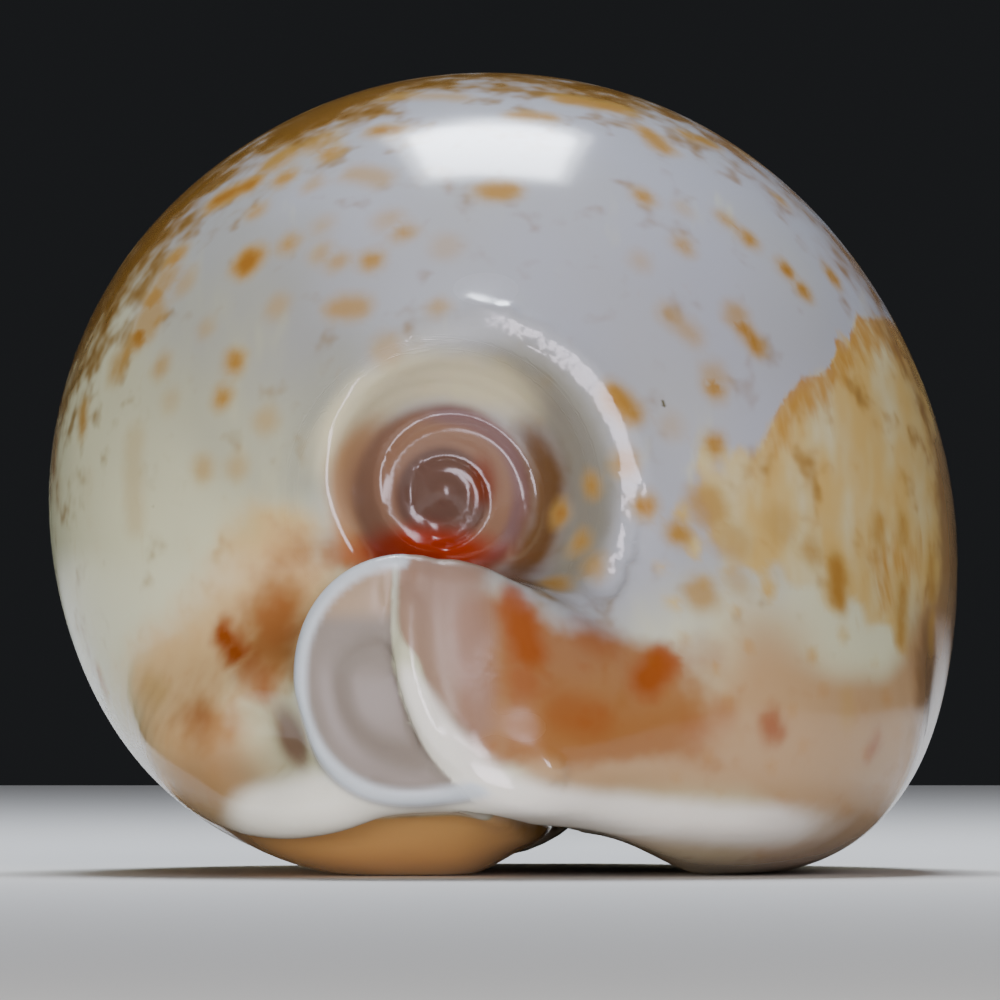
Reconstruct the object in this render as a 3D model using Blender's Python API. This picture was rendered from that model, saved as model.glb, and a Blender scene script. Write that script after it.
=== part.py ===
"""Cowrie shell: one natural piece, hollow, with a slit-like aperture along its base.

The shell lies on its base. +X is to the right when the spire end is faced,
+Y runs from the spire end to the far end, +Z is up. The origin is on the
ground below the middle of the shell. Sizes are in millimetres until the mesh
is made, in metres.

A cowrie has no flat, turned or swept face anywhere, so its form is written as
a field: a number for every point of space, negative inside the porcelain and
positive outside, close to the distance to the surface. Blender's own OpenVDB
turns the field into a mesh, which is then thinned and set back on the field.
"""

import bpy
import numpy as np
import openvdb

MM = 0.001
NEAR = 3.2  # how far from the surface the field is worked out in full
FACES_WANTED = 9600
GROUND_SNAP = 0.06  # points this low belong to the worn flats the shell rests on

# The whorl's greatest section, faced from the spire end: points (x, z) round it
GIRTH = (
    (0.0, 51.0), (8.7, 49.4), (16.5, 45.2), (22.8, 38.6), (27.2, 30.3), (29.0, 20.4),
    (28.2, 11.5), (24.9, 4.3), (20.2, 0.5), (15.5, -0.2), (9.5, 0.3), (3.0, 0.5),
    (-4.5, -0.05), (-10.5, -0.15), (-16.2, 1.9), (-22.7, 6.4), (-27.3, 14.5), (-28.9, 24.0),
    (-27.4, 32.5), (-22.6, 41.0), (-15.2, 47.1), (-7.8, 50.1),
)
HEART_Z = 25.0  # height of the section's centre
WIDEST_Y = -5.0  # where along the shell that section stands
SPIRE_REACH = 32.5  # from there to the rounded spire end
FAR_REACH = 46.0  # and to the narrow end

# The sunken spire
SPIRE_X = -3.7
SPIRE_Z = 24.0
COIL_START = 2.4  # radius of the coil, level with the nucleus on the right
COIL_GROWTH = 2.15  # each whorl is this many times the one inside it
PIT_FLOOR_Y = -31.6

# The shell's walls
WALL = 2.6
BASE_WALL = 7.0
CHAMBER_FRONT_Y = -28.5


def blend_min(a, b, reach):
    """The union of two fields, filleted over the given reach."""
    share = np.clip(0.5 + 0.5 * (b - a) / reach, 0.0, 1.0)
    return b + (a - b) * share - reach * share * (1.0 - share)


def blend_max(a, b, reach):
    """The overlap of two fields, rounded over the given reach."""
    return -blend_min(-a, -b, reach)


def ease(value, start, end):
    """0 before start, 1 after end, smooth between."""
    t = np.clip((value - start) / (end - start), 0.0, 1.0)
    return t * t * (3.0 - 2.0 * t)


def spline(points, samples):
    """An open Catmull-Rom curve through rows of numbers, evenly sampled in its parameter."""
    rows = np.asarray(points, float)
    padded = np.vstack([2 * rows[0] - rows[1], rows, 2 * rows[-1] - rows[-2]])
    spans = np.linspace(0.0, len(rows) - 1.0, samples)
    index = np.minimum(spans.astype(int), len(rows) - 2)
    t = (spans - index)[:, None]
    a, b, c, d = (padded[index + step] for step in range(4))
    return b + 0.5 * t * (c - a + t * (2 * a - 5 * b + 4 * c - d + t * (3 * (b - c) + d - a)))


def girth_harmonics(count=9):
    """The section's radius as a short Fourier series in the angle round its centre."""
    rows = np.asarray(GIRTH)
    loop = spline(np.vstack([rows[-2:], rows, rows[:2]]), 2400)
    angle = np.unwrap(np.arctan2(loop[:, 1] - HEART_Z, loop[:, 0]))
    radius = np.hypot(loop[:, 0], loop[:, 1] - HEART_Z)
    order = np.argsort(angle)
    even = angle[order][0] + np.linspace(0.2, 0.2 + 2 * np.pi, 512, endpoint=False)
    series = np.fft.rfft(np.interp(even, angle[order], radius[order])) / 512
    turns = np.arange(count + 1)
    series = series[: count + 1] * np.exp(-1j * turns * even[0])
    series[1:] *= 2
    return series


GIRTH_SERIES = girth_harmonics()


def girth_radius(angle):
    step = np.exp(1j * angle)
    power = step.copy()
    total = np.full(angle.shape, GIRTH_SERIES[0].real)
    for term in GIRTH_SERIES[1:]:
        total += (term * power).real
        power *= step
    return total


def whorl_level(x, y, z):
    """1 on the whorl's plain outer surface, less inside, more outside."""
    along = y - WIDEST_Y
    toward_back = ease(y, -12.0, 44.0)
    heart = HEART_Z - 14.5 * toward_back**1.4
    lift = z - heart
    below = ease(-lift, -7.0, 9.0)
    lift = lift * (1.0 + (HEART_Z / heart - 1.0) * below)
    shift = 1.5 * toward_back
    angle = np.arctan2(lift, x - shift)
    share = np.hypot(x - shift, lift) / girth_radius(angle)
    share = share * (1.0 + 0.10 * toward_back)
    flat = ease(-np.sin(angle), -0.2, 0.9) * ease(share, 0.0, 0.5)
    power = 2.15 + 1.0 * flat
    reach = SPIRE_REACH + (FAR_REACH - SPIRE_REACH) * ease(y, -22.0, 22.0)
    return np.sqrt(share**2 + (np.abs(along) / reach) ** power)


def whorl(x, y, z):
    level = whorl_level(x, y, z)
    step = 0.25
    slope_x = (whorl_level(x + step, y, z) - level) / step
    slope_y = (whorl_level(x, y + step, z) - level) / step
    slope_z = (whorl_level(x, y, z + step) - level) / step
    slope = np.sqrt(slope_x**2 + slope_y**2 + slope_z**2)
    return (level - 1.0) / np.maximum(slope, 0.02)


def spire_turns(x, z):
    """Radius from the spire's axis, and the count of whorls out along the coil."""
    radius = np.hypot(x - SPIRE_X, z - SPIRE_Z) + 1e-6
    clockwise = -np.arctan2(z - SPIRE_Z, x - SPIRE_X) / (2 * np.pi)
    return radius, np.log(radius / COIL_START) / np.log(COIL_GROWTH) - clockwise


def clockwise_from_canal(x, z):
    """0 at the canal's left side, then clockwise round the spire's axis to 1."""
    return np.mod(-np.arctan2(z - SPIRE_Z, x - SPIRE_X) / (2 * np.pi) - 0.27, 1.0)


def crest_radius(x, z):
    """Radius of the outermost shoulder, which opens clockwise from the canal."""
    clockwise = clockwise_from_canal(x, z)
    opening = ease(clockwise, 0.12, 0.56) - ease(clockwise, 0.93, 1.0)
    return 6.9 + 3.75 * opening


def spire_pit(x, y, z):
    """The space of the umbilicus: negative inside it, in front of its floor."""
    radius, turns = spire_turns(x, z)
    share = radius / crest_radius(x, z)
    floor = PIT_FLOOR_Y - 5.4 * ease(share, 0.45, 1.12) ** 1.1
    floor = floor - 6.0 * np.clip(share - 1.05, 0.0, 2.0)
    phase = 2 * np.pi * (turns - 0.1)
    whorls = -(np.sin(phase) + 0.4 * np.sin(2 * phase) + 0.12 * np.sin(3 * phase)) / 1.15
    height = np.minimum(0.12 * radius, 0.55) * (1.0 - 0.55 * ease(share, 0.5, 0.75)) * (1.0 - ease(share, 0.82, 1.02))
    nucleus = 0.7 * np.exp(-((radius / 1.2) ** 2))
    return (y - floor + height * whorls + nucleus) * 0.8


def crest_bump(x, y, z):
    """How far the rounded shoulder round the umbilicus stands up from the whorl."""
    radius, _ = spire_turns(x, z)
    clockwise = clockwise_from_canal(x, z)
    strength = ease(clockwise, 0.0, 0.3) * (1.0 - ease(clockwise, 0.8, 0.93))
    return 0.9 * strength * np.exp(-(((radius / crest_radius(x, z) - 0.98) / 0.18) ** 2))


# Flat steps round the umbilicus: radius, half width and tilt, then the height of the
# step at places counted clockwise from the canal
OUTER_STEP = (11.4, 0.78, 0.09), (0.47, 0.60, 0.68, 0.74, 0.79, 0.84, 0.89), (
    -35.95, -36.5, -36.75, -36.95, -37.25, -37.6, -37.9,
)
INNER_STEP = (7.1, 0.42, -0.08), (0.15, 0.175, 0.23, 0.286, 0.355, 0.38), (
    -36.1, -36.0, -35.65, -35.2, -34.2, -33.9,
)


def stepped(body, x, y, z, step):
    """The body with a narrow flat step worn into it round the spire's axis."""
    (middle, half, tilt), places, heights = step
    radius, _ = spire_turns(x, z)
    clockwise = clockwise_from_canal(x, z)
    level = np.interp(clockwise, places, heights) + tilt * (radius - middle)
    share = np.exp(-(((radius - middle) / half) ** 4)) * ease(-y, 27.0, 30.0)
    share = share * ease(clockwise, places[0], places[1])
    share = share * (1.0 - ease(clockwise, places[-2], places[-1]))
    return body * (1.0 - share) + (level - y) * 0.85 * share


def tube(x, y, z, points, samples=28):
    """A round rod along a smooth path. Each point is x, y, z and the rod's radius there."""
    path = spline(points, samples)
    margin = path[:, 3].max() + 9.0
    low = path[:, :3].min(axis=0) - margin
    high = path[:, :3].max(axis=0) + margin
    near = (x > low[0]) & (x < high[0]) & (y > low[1]) & (y < high[1])
    near &= (z > low[2]) & (z < high[2])
    result = np.full(x.shape, 30.0, x.dtype)
    px, py, pz = x[near], y[near], z[near]
    best = np.full(px.shape, 30.0, x.dtype)
    for (ax, ay, az, ar), (bx, by, bz, br) in zip(path[:-1], path[1:]):
        dx, dy, dz = bx - ax, by - ay, bz - az
        t = ((px - ax) * dx + (py - ay) * dy + (pz - az) * dz) / (dx * dx + dy * dy + dz * dz)
        t = np.clip(t, 0.0, 1.0)
        gap = np.sqrt((px - ax - t * dx) ** 2 + (py - ay - t * dy) ** 2 + (pz - az - t * dz) ** 2)
        best = np.minimum(best, gap - ar - t * (br - ar))
    result[near] = best
    return result


def egg(x, y, z, centre, half, power=2.0):
    """An ellipsoid, squarer for a higher power."""
    u = np.abs(x - centre[0]) / half[0]
    v = np.abs(y - centre[1]) / half[1]
    w = np.abs(z - centre[2]) / half[2]
    level = (u**power + v**power + w**power) ** (1.0 / power) + 1e-6
    slope = np.sqrt(
        (u ** (power - 1) / half[0]) ** 2
        + (v ** (power - 1) / half[1]) ** 2
        + (w ** (power - 1) / half[2]) ** 2
    ) / level ** (power - 1)
    return (level - 1.0) / np.maximum(slope, 0.02)


# The rolled end of the outer lip, faced from the spire end: points (x, z)
LIP_EDGE = (
    (-5.9, 22.5), (-5.95, 19.5), (-6.0, 16.0), (-5.6, 12.4), (-4.2, 8.9),
    (-2.4, 6.7), (-0.8, 5.4), (2.8, 4.2), (7.6, 3.6), (14.0, 3.0), (24.0, 2.8),
)


def lip_side(x, y, z):
    """Signed distance in the view from the spire end: positive on the outer lip's side."""
    result = np.full(x.shape, -20.0, x.dtype)
    near = y < -22.0
    px, pz = x[near], z[near]
    path = spline(LIP_EDGE, 140)
    best = np.full(px.shape, 1e6, x.dtype)
    side = np.zeros(px.shape, x.dtype)
    for (ax, az), (bx, bz) in zip(path[:-1], path[1:]):
        dx, dz = bx - ax, bz - az
        t = np.clip(((px - ax) * dx + (pz - az) * dz) / (dx * dx + dz * dz), 0.0, 1.0)
        gap = (px - ax - t * dx) ** 2 + (pz - az - t * dz) ** 2
        closer = gap < best
        best = np.where(closer, gap, best)
        side = np.where(closer, dx * (pz - az) - dz * (px - ax), side)
    result[near] = np.sqrt(best) * np.sign(side)
    return result


def envelope(x, y, z):
    """The shell's outside, as if nothing were hollow."""
    body = whorl(x, y, z) - crest_bump(x, y, z) * ease(-y, 18.0, 26.0)
    swell = egg(x, y, z, (6.0, -25.0, 12.0), (16.5, 15.6, 11.0), 2.1)
    body = blend_min(body, swell, 6.0)
    body = blend_max(body, -spire_pit(x, y, z), 1.6)
    body = stepped(body, x, y, z, OUTER_STEP)
    body = stepped(body, x, y, z, INNER_STEP)
    outer = tube(x, y, z, (
        (-4.0, -40.4, 9.5, 3.4), (0.0, -39.8, 7.8, 3.5), (5.0, -37.6, 6.9, 3.7),
        (10.5, -34.2, 6.7, 4.2), (15.5, -29.2, 7.2, 5.2), (18.4, -22.0, 9.3, 6.8),
    ), 60)
    body = blend_min(body, outer, 5.0)
    foot = tube(x, y, z, (
        (-2.6, -41.6, 5.9, 1.2), (-7.4, -41.7, 5.4, 1.5), (-10.9, -40.2, 4.7, 1.9),
        (-14.0, -37.4, 4.7, 2.2), (-16.8, -33.4, 5.8, 2.6), (-19.0, -28.0, 8.2, 3.2),
        (-19.0, -18.0, 12.0, 5.0),
    ), 40)
    body = blend_min(body, foot, 3.0)
    sole = egg(x, y, z, (-7.5, -24.0, 9.6), (13.5, 17.0, 9.6))
    body = blend_min(body, sole, 3.0)
    body = blend_min(body, head(x, y, z), 1.5 + 6.5 * ease(x, -4.0, 3.0))
    beak = egg(x, y, z, (1.6, 32.0, 7.2), (8.2, 11.6, 6.2), 2.4)
    body = blend_min(body, beak, 5.0)
    dimple = egg(x, y, z, (-16.0, -41.5, 8.9), (2.8, 6.0, 2.5))
    body = blend_max(body, -dimple, 2.4)
    trough = tube(x, y, z, (
        (2.0, -46.0, -2.6, 4.6), (4.5, -30.0, -2.8, 5.2), (5.6, -10.0, -2.8, 5.6),
        (5.6, 8.0, -2.8, 5.6), (4.0, 28.0, -2.8, 5.2), (2.4, 48.0, -2.4, 4.6),
    ), 40)
    return blend_max(body, -trough, 3.5)


HEAD_X = -5.65
HEAD_Z = 12.55
RIM = 0.85
CANAL_DEPTH = 2.7


def head_sides(x, y, z):
    """Distance from the side wall of the stub at the spire end."""
    taper = 1.0 - 0.012 * np.clip(y + 44.0, 0.0, 12.0)
    across = x - HEAD_X
    u = np.abs(across) / (7.5 + 2.6 * ease(across, -1.0, 5.0)) / taper
    w = np.abs(z - HEAD_Z) / (7.9 * taper)
    return ((u**2.15 + w**2.15) ** (1.0 / 2.15) - 1.0) * 7.6


def head_face(x, z):
    """How far forward the stub's face stands."""
    return -44.5 + 0.03 * (x + 6.0) ** 2 + 0.016 * (z - 12.0) ** 2


def head(x, y, z):
    """The stub at the spire end that both lips run into, round the canal."""
    stub = blend_max(head_sides(x, y, z), head_face(x, z) - y, 1.4)
    return blend_max(stub, y + 26.0, 3.0)


def canal_bowl(x, y, z):
    """The spoon that the inner lip forms in the stub's face, running in behind the outer lip."""
    inside = np.clip(-head_sides(x, y, z) - RIM, -5.0, 12.0)
    depth = CANAL_DEPTH * (1.0 - 0.78 * ease(z, 12.5, 19.0)) * (1.0 - ease(x, -3.0, 1.5))
    floor = head_face(x, z) + depth * (1.0 - np.exp(-inside / 1.9)) - 1.5 * ease(x, -1.0, 2.0)
    return np.maximum((y - floor) * 0.6, -inside)


# The aperture in plan, from the canal to the far end: x, y, half its width, top of the slit
SLIT = (
    (-1.6, -41.0, 1.2, 14.0), (-0.4, -39.6, 1.2, 12.5), (1.2, -36.4, 1.2, 10.5),
    (2.6, -31.0, 1.25, 9.0), (4.2, -22.0, 1.35, 9.5), (4.9, -10.0, 1.5, 10.0),
    (4.8, 4.0, 1.6, 10.0), (4.0, 18.0, 1.75, 9.5), (3.0, 30.0, 1.9, 8.5),
    (2.2, 39.0, 2.1, 7.0), (1.8, 47.0, 2.4, 6.5),
)


def slit_field(x, y, z):
    """The aperture: negative in the open slit."""
    result = np.full(x.shape, 20.0, x.dtype)
    near = z < 20.0
    px, py, pz = x[near], y[near], z[near]
    path = spline(SLIT, 60)
    lean = px - 0.18 * (pz - 3.0) * ease(py, -38.0, -20.0)
    lean = lean + 0.38 * (pz - 5.0) * (1.0 - ease(py, -42.0, -30.0))
    best = np.full(px.shape, 1e6, x.dtype)
    half = np.zeros(px.shape, x.dtype)
    top = np.zeros(px.shape, x.dtype)
    for (ax, ay, ah, at), (bx, by, bh, bt) in zip(path[:-1], path[1:]):
        dx, dy = bx - ax, by - ay
        t = np.clip(((lean - ax) * dx + (py - ay) * dy) / (dx * dx + dy * dy), 0.0, 1.0)
        gap = (lean - ax - t * dx) ** 2 + (py - ay - t * dy) ** 2
        closer = gap < best
        best = np.where(closer, gap, best)
        half = np.where(closer, ah + t * (bh - ah), half)
        top = np.where(closer, at + t * (bt - at), top)
    result[near] = blend_max(np.sqrt(best) - half, pz - top, 1.5)
    return result


def hollow(x, y, z, outside):
    """Everything that is cut from the envelope: the canal, the aperture and the chamber."""
    slit = slit_field(x, y, z)
    bowl = canal_bowl(x, y, z)
    cut = blend_min(slit, bowl, 1.6)
    spout = tube(x, y, z, (
        (3.6, 22.0, 3.4, 1.6), (2.6, 31.0, 4.2, 2.0), (1.9, 40.0, 5.4, 2.5), (1.6, 50.0, 7.6, 2.9),
    ), 16)
    cut = blend_min(cut, spout, 2.0)
    chamber = blend_max(outside + WALL, BASE_WALL - z, 6.0)
    chamber = blend_max(chamber, CHAMBER_FRONT_Y - y, 6.0)
    return blend_min(cut, chamber, 2.0), bowl


def shell_field(x, y, z):
    """Negative in the porcelain, positive outside it, near the distance in millimetres."""
    side = lip_side(x, y, z)
    front = ease(-y, 24.0, 28.0)
    outside = envelope(x, y, z)
    outside = outside + 0.14 * front * np.exp(-(((side - 1.9) / 0.7) ** 2)) * ease(z, 4.0, 8.0)
    seam = ease(z, 13.5, 16.5) * (1.0 - ease(z, 18.4, 20.2)) * ease(-y, 39.0, 41.0)
    outside = outside + 0.5 * seam * np.exp(-(((side + 1.0) / 0.6) ** 2))
    cut, bowl = hollow(x, y, z, outside)
    shell = blend_max(outside, -cut, 0.9)
    sheet = blend_max(np.maximum(outside, -outside - 1.5), -side, 0.8) + 9.0 * (1.0 - front)
    lip_back = -40.4 + 0.3 * np.clip(x, -4.0, 24.0) + 0.028 * np.clip(x, 0.0, 24.0) ** 2
    sheet = blend_max(sheet, y - lip_back, 1.0)
    roll = np.hypot(side, outside + 0.7) - 0.85 + 1.5 * ease(z, 17.0, 20.0) + 1.5 * ease(x, 15.0, 22.0)
    roll = blend_max(roll + 9.0 * (1.0 - front), y - lip_back, 1.0)
    rim = blend_max(np.hypot(outside + 0.5, bowl - 0.4) - 0.5, side + 0.4, 0.5)
    shell = blend_min(shell, rim + 9.0 * (1.0 - ease(-y, 30.0, 34.0)), 0.6)
    shell = np.minimum(shell, sheet)
    shell = blend_min(shell, roll, 0.8)
    return blend_max(shell, -z, 0.12)


def axis_steps(*marks):
    """A row of planes whose spacing changes along it: marks are (place, spacing)."""
    stops, gaps = zip(*marks)
    places = [stops[0]]
    while places[-1] < stops[-1]:
        places.append(places[-1] + float(np.interp(places[-1], stops, gaps)))
    return np.array(places)


def field_on_grid(xs, ys, zs, stride=3):
    """The field at every grid point near the surface, and a coarse estimate of it elsewhere."""
    coarse_x, coarse_y, coarse_z = (
        np.append(planes[::stride], planes[-1] + 0.01) for planes in (xs, ys, zs)
    )
    block = np.meshgrid(coarse_x, coarse_y, coarse_z, indexing="ij")
    values = shell_field(*block)
    for axis, (coarse, fine) in enumerate(((coarse_x, xs), (coarse_y, ys), (coarse_z, zs))):
        index = np.clip(np.searchsorted(coarse, fine, "right") - 1, 0, len(coarse) - 2)
        shape = [1, 1, 1]
        shape[axis] = len(fine)
        share = ((fine - coarse[index]) / (coarse[index + 1] - coarse[index])).reshape(shape)
        low = np.take(values, index, axis)
        values = low + (np.take(values, index + 1, axis) - low) * share
    near = np.abs(values) < NEAR
    x, y, z = np.meshgrid(xs, ys, zs, indexing="ij")
    values[near] = shell_field(x[near], y[near], z[near])
    return values


def surface(xs, ys, zs, rounds=2):
    """Points and quads of the field's zero surface, over a grid of planes."""
    values = field_on_grid(xs, ys, zs)
    grid = openvdb.FloatGrid(float(values.max()))
    grid.copyFromArray(values.astype(np.float32))
    points, quads = grid.convertToQuads(0.0)
    points = np.stack([
        np.interp(points[:, axis], np.arange(len(planes)), planes)
        for axis, planes in enumerate((xs, ys, zs))
    ], axis=1)
    return settle(points, rounds), quads


def field_slope(points, step=0.05):
    x, y, z = points.T
    return np.stack([
        shell_field(x + step, y, z) - shell_field(x - step, y, z),
        shell_field(x, y + step, z) - shell_field(x, y - step, z),
        shell_field(x, y, z + step) - shell_field(x, y, z - step),
    ], axis=1) / (2 * step)


def settle(points, rounds, furthest=0.3):
    """Moves each point along the slope of the field onto its zero surface."""
    for _ in range(rounds):
        slope = field_slope(points)
        steep = np.maximum((slope**2).sum(axis=1), 0.05)
        move = -(shell_field(*points.T) / steep)[:, None] * slope
        far = np.linalg.norm(move, axis=1, keepdims=True)
        points = points + move * np.minimum(1.0, furthest / np.maximum(far, 1e-9))
    return points


def clear_scene():
    for item in list(bpy.data.objects):
        bpy.data.objects.remove(item, do_unlink=True)


def porcelain():
    """Glossy enamel, cream white: the shell's own material."""
    material = bpy.data.materials.new("porcelain_enamel")
    material.use_nodes = True
    shader = material.node_tree.nodes["Principled BSDF"]
    shader.inputs["Base Color"].default_value = (0.62, 0.55, 0.42, 1.0)
    shader.inputs["Roughness"].default_value = 0.12
    shader.inputs["Metallic"].default_value = 0.0
    return material


def mesh_of(points, faces, name):
    mesh = bpy.data.meshes.new(name)
    mesh.from_pydata((points * MM).tolist(), [], faces.tolist())
    mesh.validate()
    return mesh


def thinned(mesh, faces_wanted):
    """The mesh with its faces merged where it is flattest."""
    helper = bpy.data.objects.new("helper", mesh)
    bpy.context.scene.collection.objects.link(helper)
    modifier = helper.modifiers.new("thin", "DECIMATE")
    modifier.ratio = faces_wanted / (2.0 * len(mesh.polygons))
    graph = bpy.context.evaluated_depsgraph_get()
    result = bpy.data.meshes.new_from_object(helper.evaluated_get(graph))
    bpy.data.objects.remove(helper)
    return result


def resettle(mesh):
    """Sets a thinned mesh back on the field, its flats on the ground, its middle over the origin."""
    points = np.empty(len(mesh.vertices) * 3)
    mesh.vertices.foreach_get("co", points)
    points = settle(points.reshape(-1, 3) / MM, 2, 0.15)
    points[points[:, 2] < GROUND_SNAP, 2] = 0.0
    points[:, :2] -= (points[:, :2].min(axis=0) + points[:, :2].max(axis=0)) / 2
    mesh.vertices.foreach_set("co", (points * MM).ravel())


def build_shell():
    xs = axis_steps((-31.0, 1.1), (-16.0, 0.8), (-12.0, 0.6), (6.0, 0.6), (14.0, 1.0), (31.0, 1.1))
    ys = axis_steps((-47.0, 0.6), (-34.0, 0.7), (-20.0, 1.2), (30.0, 1.2), (47.5, 0.9))
    zs = axis_steps((-2.0, 0.7), (6.0, 0.6), (26.0, 0.6), (36.0, 1.1), (53.0, 1.1))
    points, quads = surface(xs, ys, zs)
    mesh = thinned(mesh_of(points, quads, "shell_full"), FACES_WANTED)
    resettle(mesh)
    mesh.name = "shell"
    mesh.materials.append(porcelain())
    mesh.shade_smooth()
    shell = bpy.data.objects.new("shell", mesh)
    collection = bpy.data.collections.new("cowrie_shell")
    bpy.context.scene.collection.children.link(collection)
    collection.objects.link(shell)


clear_scene()
build_shell()
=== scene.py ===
"""Cowrie shell, spire end forward: enamel of bluish white and cream, ochre spots, rust-red washes.

The shell is one natural piece, grown under the animal's mantle, so its form is
written as a field (negative inside the porcelain, positive outside, in
millimetres) and meshed by OpenVDB. The pigment is laid on in two steps. The
mesh carries where each wash and spot lies, and the enamel's material turns that
into colour, with soft ragged edges. A few of the washes are painted shade: grey
over the upper left, darker tan round the silhouettes and low on the left, darker
brown in the dent beside the stub and in the umbilicus's valley, and deep red on
the umbilicus's wall behind the stub. Geometry Nodes set the teeth along both
lips of the aperture. +Y runs from the spire end to the far end.
"""

import math

import bpy
import numpy as np
import openvdb
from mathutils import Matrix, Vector


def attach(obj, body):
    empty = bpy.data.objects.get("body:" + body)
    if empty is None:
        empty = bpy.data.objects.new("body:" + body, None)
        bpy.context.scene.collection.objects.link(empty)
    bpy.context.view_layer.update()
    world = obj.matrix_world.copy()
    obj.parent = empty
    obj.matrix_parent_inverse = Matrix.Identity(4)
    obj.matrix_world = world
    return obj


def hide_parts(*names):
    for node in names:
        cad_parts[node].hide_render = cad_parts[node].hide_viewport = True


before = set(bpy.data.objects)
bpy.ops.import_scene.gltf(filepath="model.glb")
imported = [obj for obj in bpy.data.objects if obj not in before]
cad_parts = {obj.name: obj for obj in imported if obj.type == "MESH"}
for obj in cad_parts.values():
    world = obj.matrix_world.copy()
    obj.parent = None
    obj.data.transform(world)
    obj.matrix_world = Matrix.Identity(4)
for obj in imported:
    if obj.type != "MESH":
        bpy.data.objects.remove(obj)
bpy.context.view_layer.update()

MM = 0.001

# The whorl's greatest section, faced from the spire end: points (x, z) round it
GIRTH = (
    (0, 51), (8.7, 49.4), (16.5, 45.2), (22.8, 38.6), (27.2, 30.3), (29, 20.4),
    (28.2, 11.5), (24.9, 4.3), (20.2, 0.5), (15.5, -0.2), (9.5, 0.3), (3, 0.5),
    (-4.5, -0.05), (-10.5, -0.15), (-16.2, 1.9), (-22.7, 6.4), (-27.3, 14.5), (-28.9, 24),
    (-27.4, 32.5), (-22.6, 41), (-15.2, 47.1), (-7.8, 50.1),
)
HEART_Z = 25.0  # height of the section's centre
WIDEST_Y = -5.0  # where along the shell that section stands
SPIRE_REACH = 32.5  # from there to the rounded spire end
FAR_REACH = 46.0  # and to the narrow end

# The sunken spire
SPIRE_X = -3.7
SPIRE_Z = 24.0
COIL_START = 2.4  # radius of the coil, level with the nucleus on the right
COIL_GROWTH = 2.15  # each whorl is this many times the one inside it
PIT_FLOOR_Y = -31.6
RIDGE_HEIGHT = 0.34  # the most that the coil's ridges stand up

# The shell's walls
WALL = 2.6
BASE_WALL = 7.0
CHAMBER_FRONT_Y = -28.5


def blend_min(a, b, reach):
    """The union of two fields, filleted over the given reach."""
    share = np.clip(0.5 + 0.5 * (b - a) / reach, 0.0, 1.0)
    return b + (a - b) * share - reach * share * (1.0 - share)


def blend_max(a, b, reach):
    """The overlap of two fields, rounded over the given reach."""
    return -blend_min(-a, -b, reach)


def ease(value, start, end):
    """0 before start, 1 after end, smooth between."""
    t = np.clip((value - start) / (end - start), 0.0, 1.0)
    return t * t * (3.0 - 2.0 * t)


def fade(value, start, end):
    """1 before start, 0 after end, smooth between."""
    return 1.0 - ease(value, start, end)


def bell(value, middle, spread):
    """1 at the middle, fading evenly either side of it."""
    return np.exp(-(((value - middle) / spread) ** 2))


def spline(points, samples):
    """An open Catmull-Rom curve through rows of numbers, evenly sampled in its parameter."""
    rows = np.asarray(points, float)
    padded = np.vstack([2 * rows[0] - rows[1], rows, 2 * rows[-1] - rows[-2]])
    spans = np.linspace(0.0, len(rows) - 1.0, samples)
    index = np.minimum(spans.astype(int), len(rows) - 2)
    t = (spans - index)[:, None]
    a, b, c, d = (padded[index + step] for step in range(4))
    return b + 0.5 * t * (c - a + t * (2 * a - 5 * b + 4 * c - d + t * (3 * (b - c) + d - a)))


def girth_harmonics(count=9):
    """The section's radius as a short Fourier series in the angle round its centre."""
    rows = np.asarray(GIRTH)
    loop = spline(np.vstack([rows[-2:], rows, rows[:2]]), 2400)
    angle = np.unwrap(np.arctan2(loop[:, 1] - HEART_Z, loop[:, 0]))
    radius = np.hypot(loop[:, 0], loop[:, 1] - HEART_Z)
    order = np.argsort(angle)
    even = angle[order][0] + np.linspace(0.2, 0.2 + 2 * np.pi, 512, endpoint=False)
    series = np.fft.rfft(np.interp(even, angle[order], radius[order])) / 512
    turns = np.arange(count + 1)
    series = series[: count + 1] * np.exp(-1j * turns * even[0])
    series[1:] *= 2
    return series


GIRTH_SERIES = girth_harmonics()


def girth_radius(angle):
    """The section's radius at an angle round its centre."""
    step = np.exp(1j * angle)
    power = step.copy()
    total = np.full(angle.shape, GIRTH_SERIES[0].real)
    for term in GIRTH_SERIES[1:]:
        total += (term * power).real
        power *= step
    return total


def whorl_level(x, y, z):
    """1 on the whorl's plain outer surface, less inside, more outside."""
    along = y - WIDEST_Y
    toward_back = ease(y, -12, 44)
    heart = HEART_Z - 14.5 * toward_back**1.4
    lift = z - heart
    below = ease(-lift, -7, 9)
    lift = lift * (1.0 + (HEART_Z / heart - 1.0) * below)
    shift = 1.5 * toward_back
    angle = np.arctan2(lift, x - shift)
    share = np.hypot(x - shift, lift) / girth_radius(angle)
    share = share * (1.0 + 0.10 * toward_back)
    flat = ease(-np.sin(angle), -0.2, 0.9) * ease(share, 0, 0.5)
    power = 2.15 + 1.0 * flat
    reach = SPIRE_REACH + (FAR_REACH - SPIRE_REACH) * ease(y, -22, 22)
    return np.sqrt(share**2 + (np.abs(along) / reach) ** power)


def whorl(x, y, z):
    """Distance from the whorl's plain outer surface, negative inside it."""
    level = whorl_level(x, y, z)
    step = 0.25
    slope_x = (whorl_level(x + step, y, z) - level) / step
    slope_y = (whorl_level(x, y + step, z) - level) / step
    slope_z = (whorl_level(x, y, z + step) - level) / step
    slope = np.sqrt(slope_x**2 + slope_y**2 + slope_z**2)
    return (level - 1.0) / np.maximum(slope, 0.02)


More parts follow.
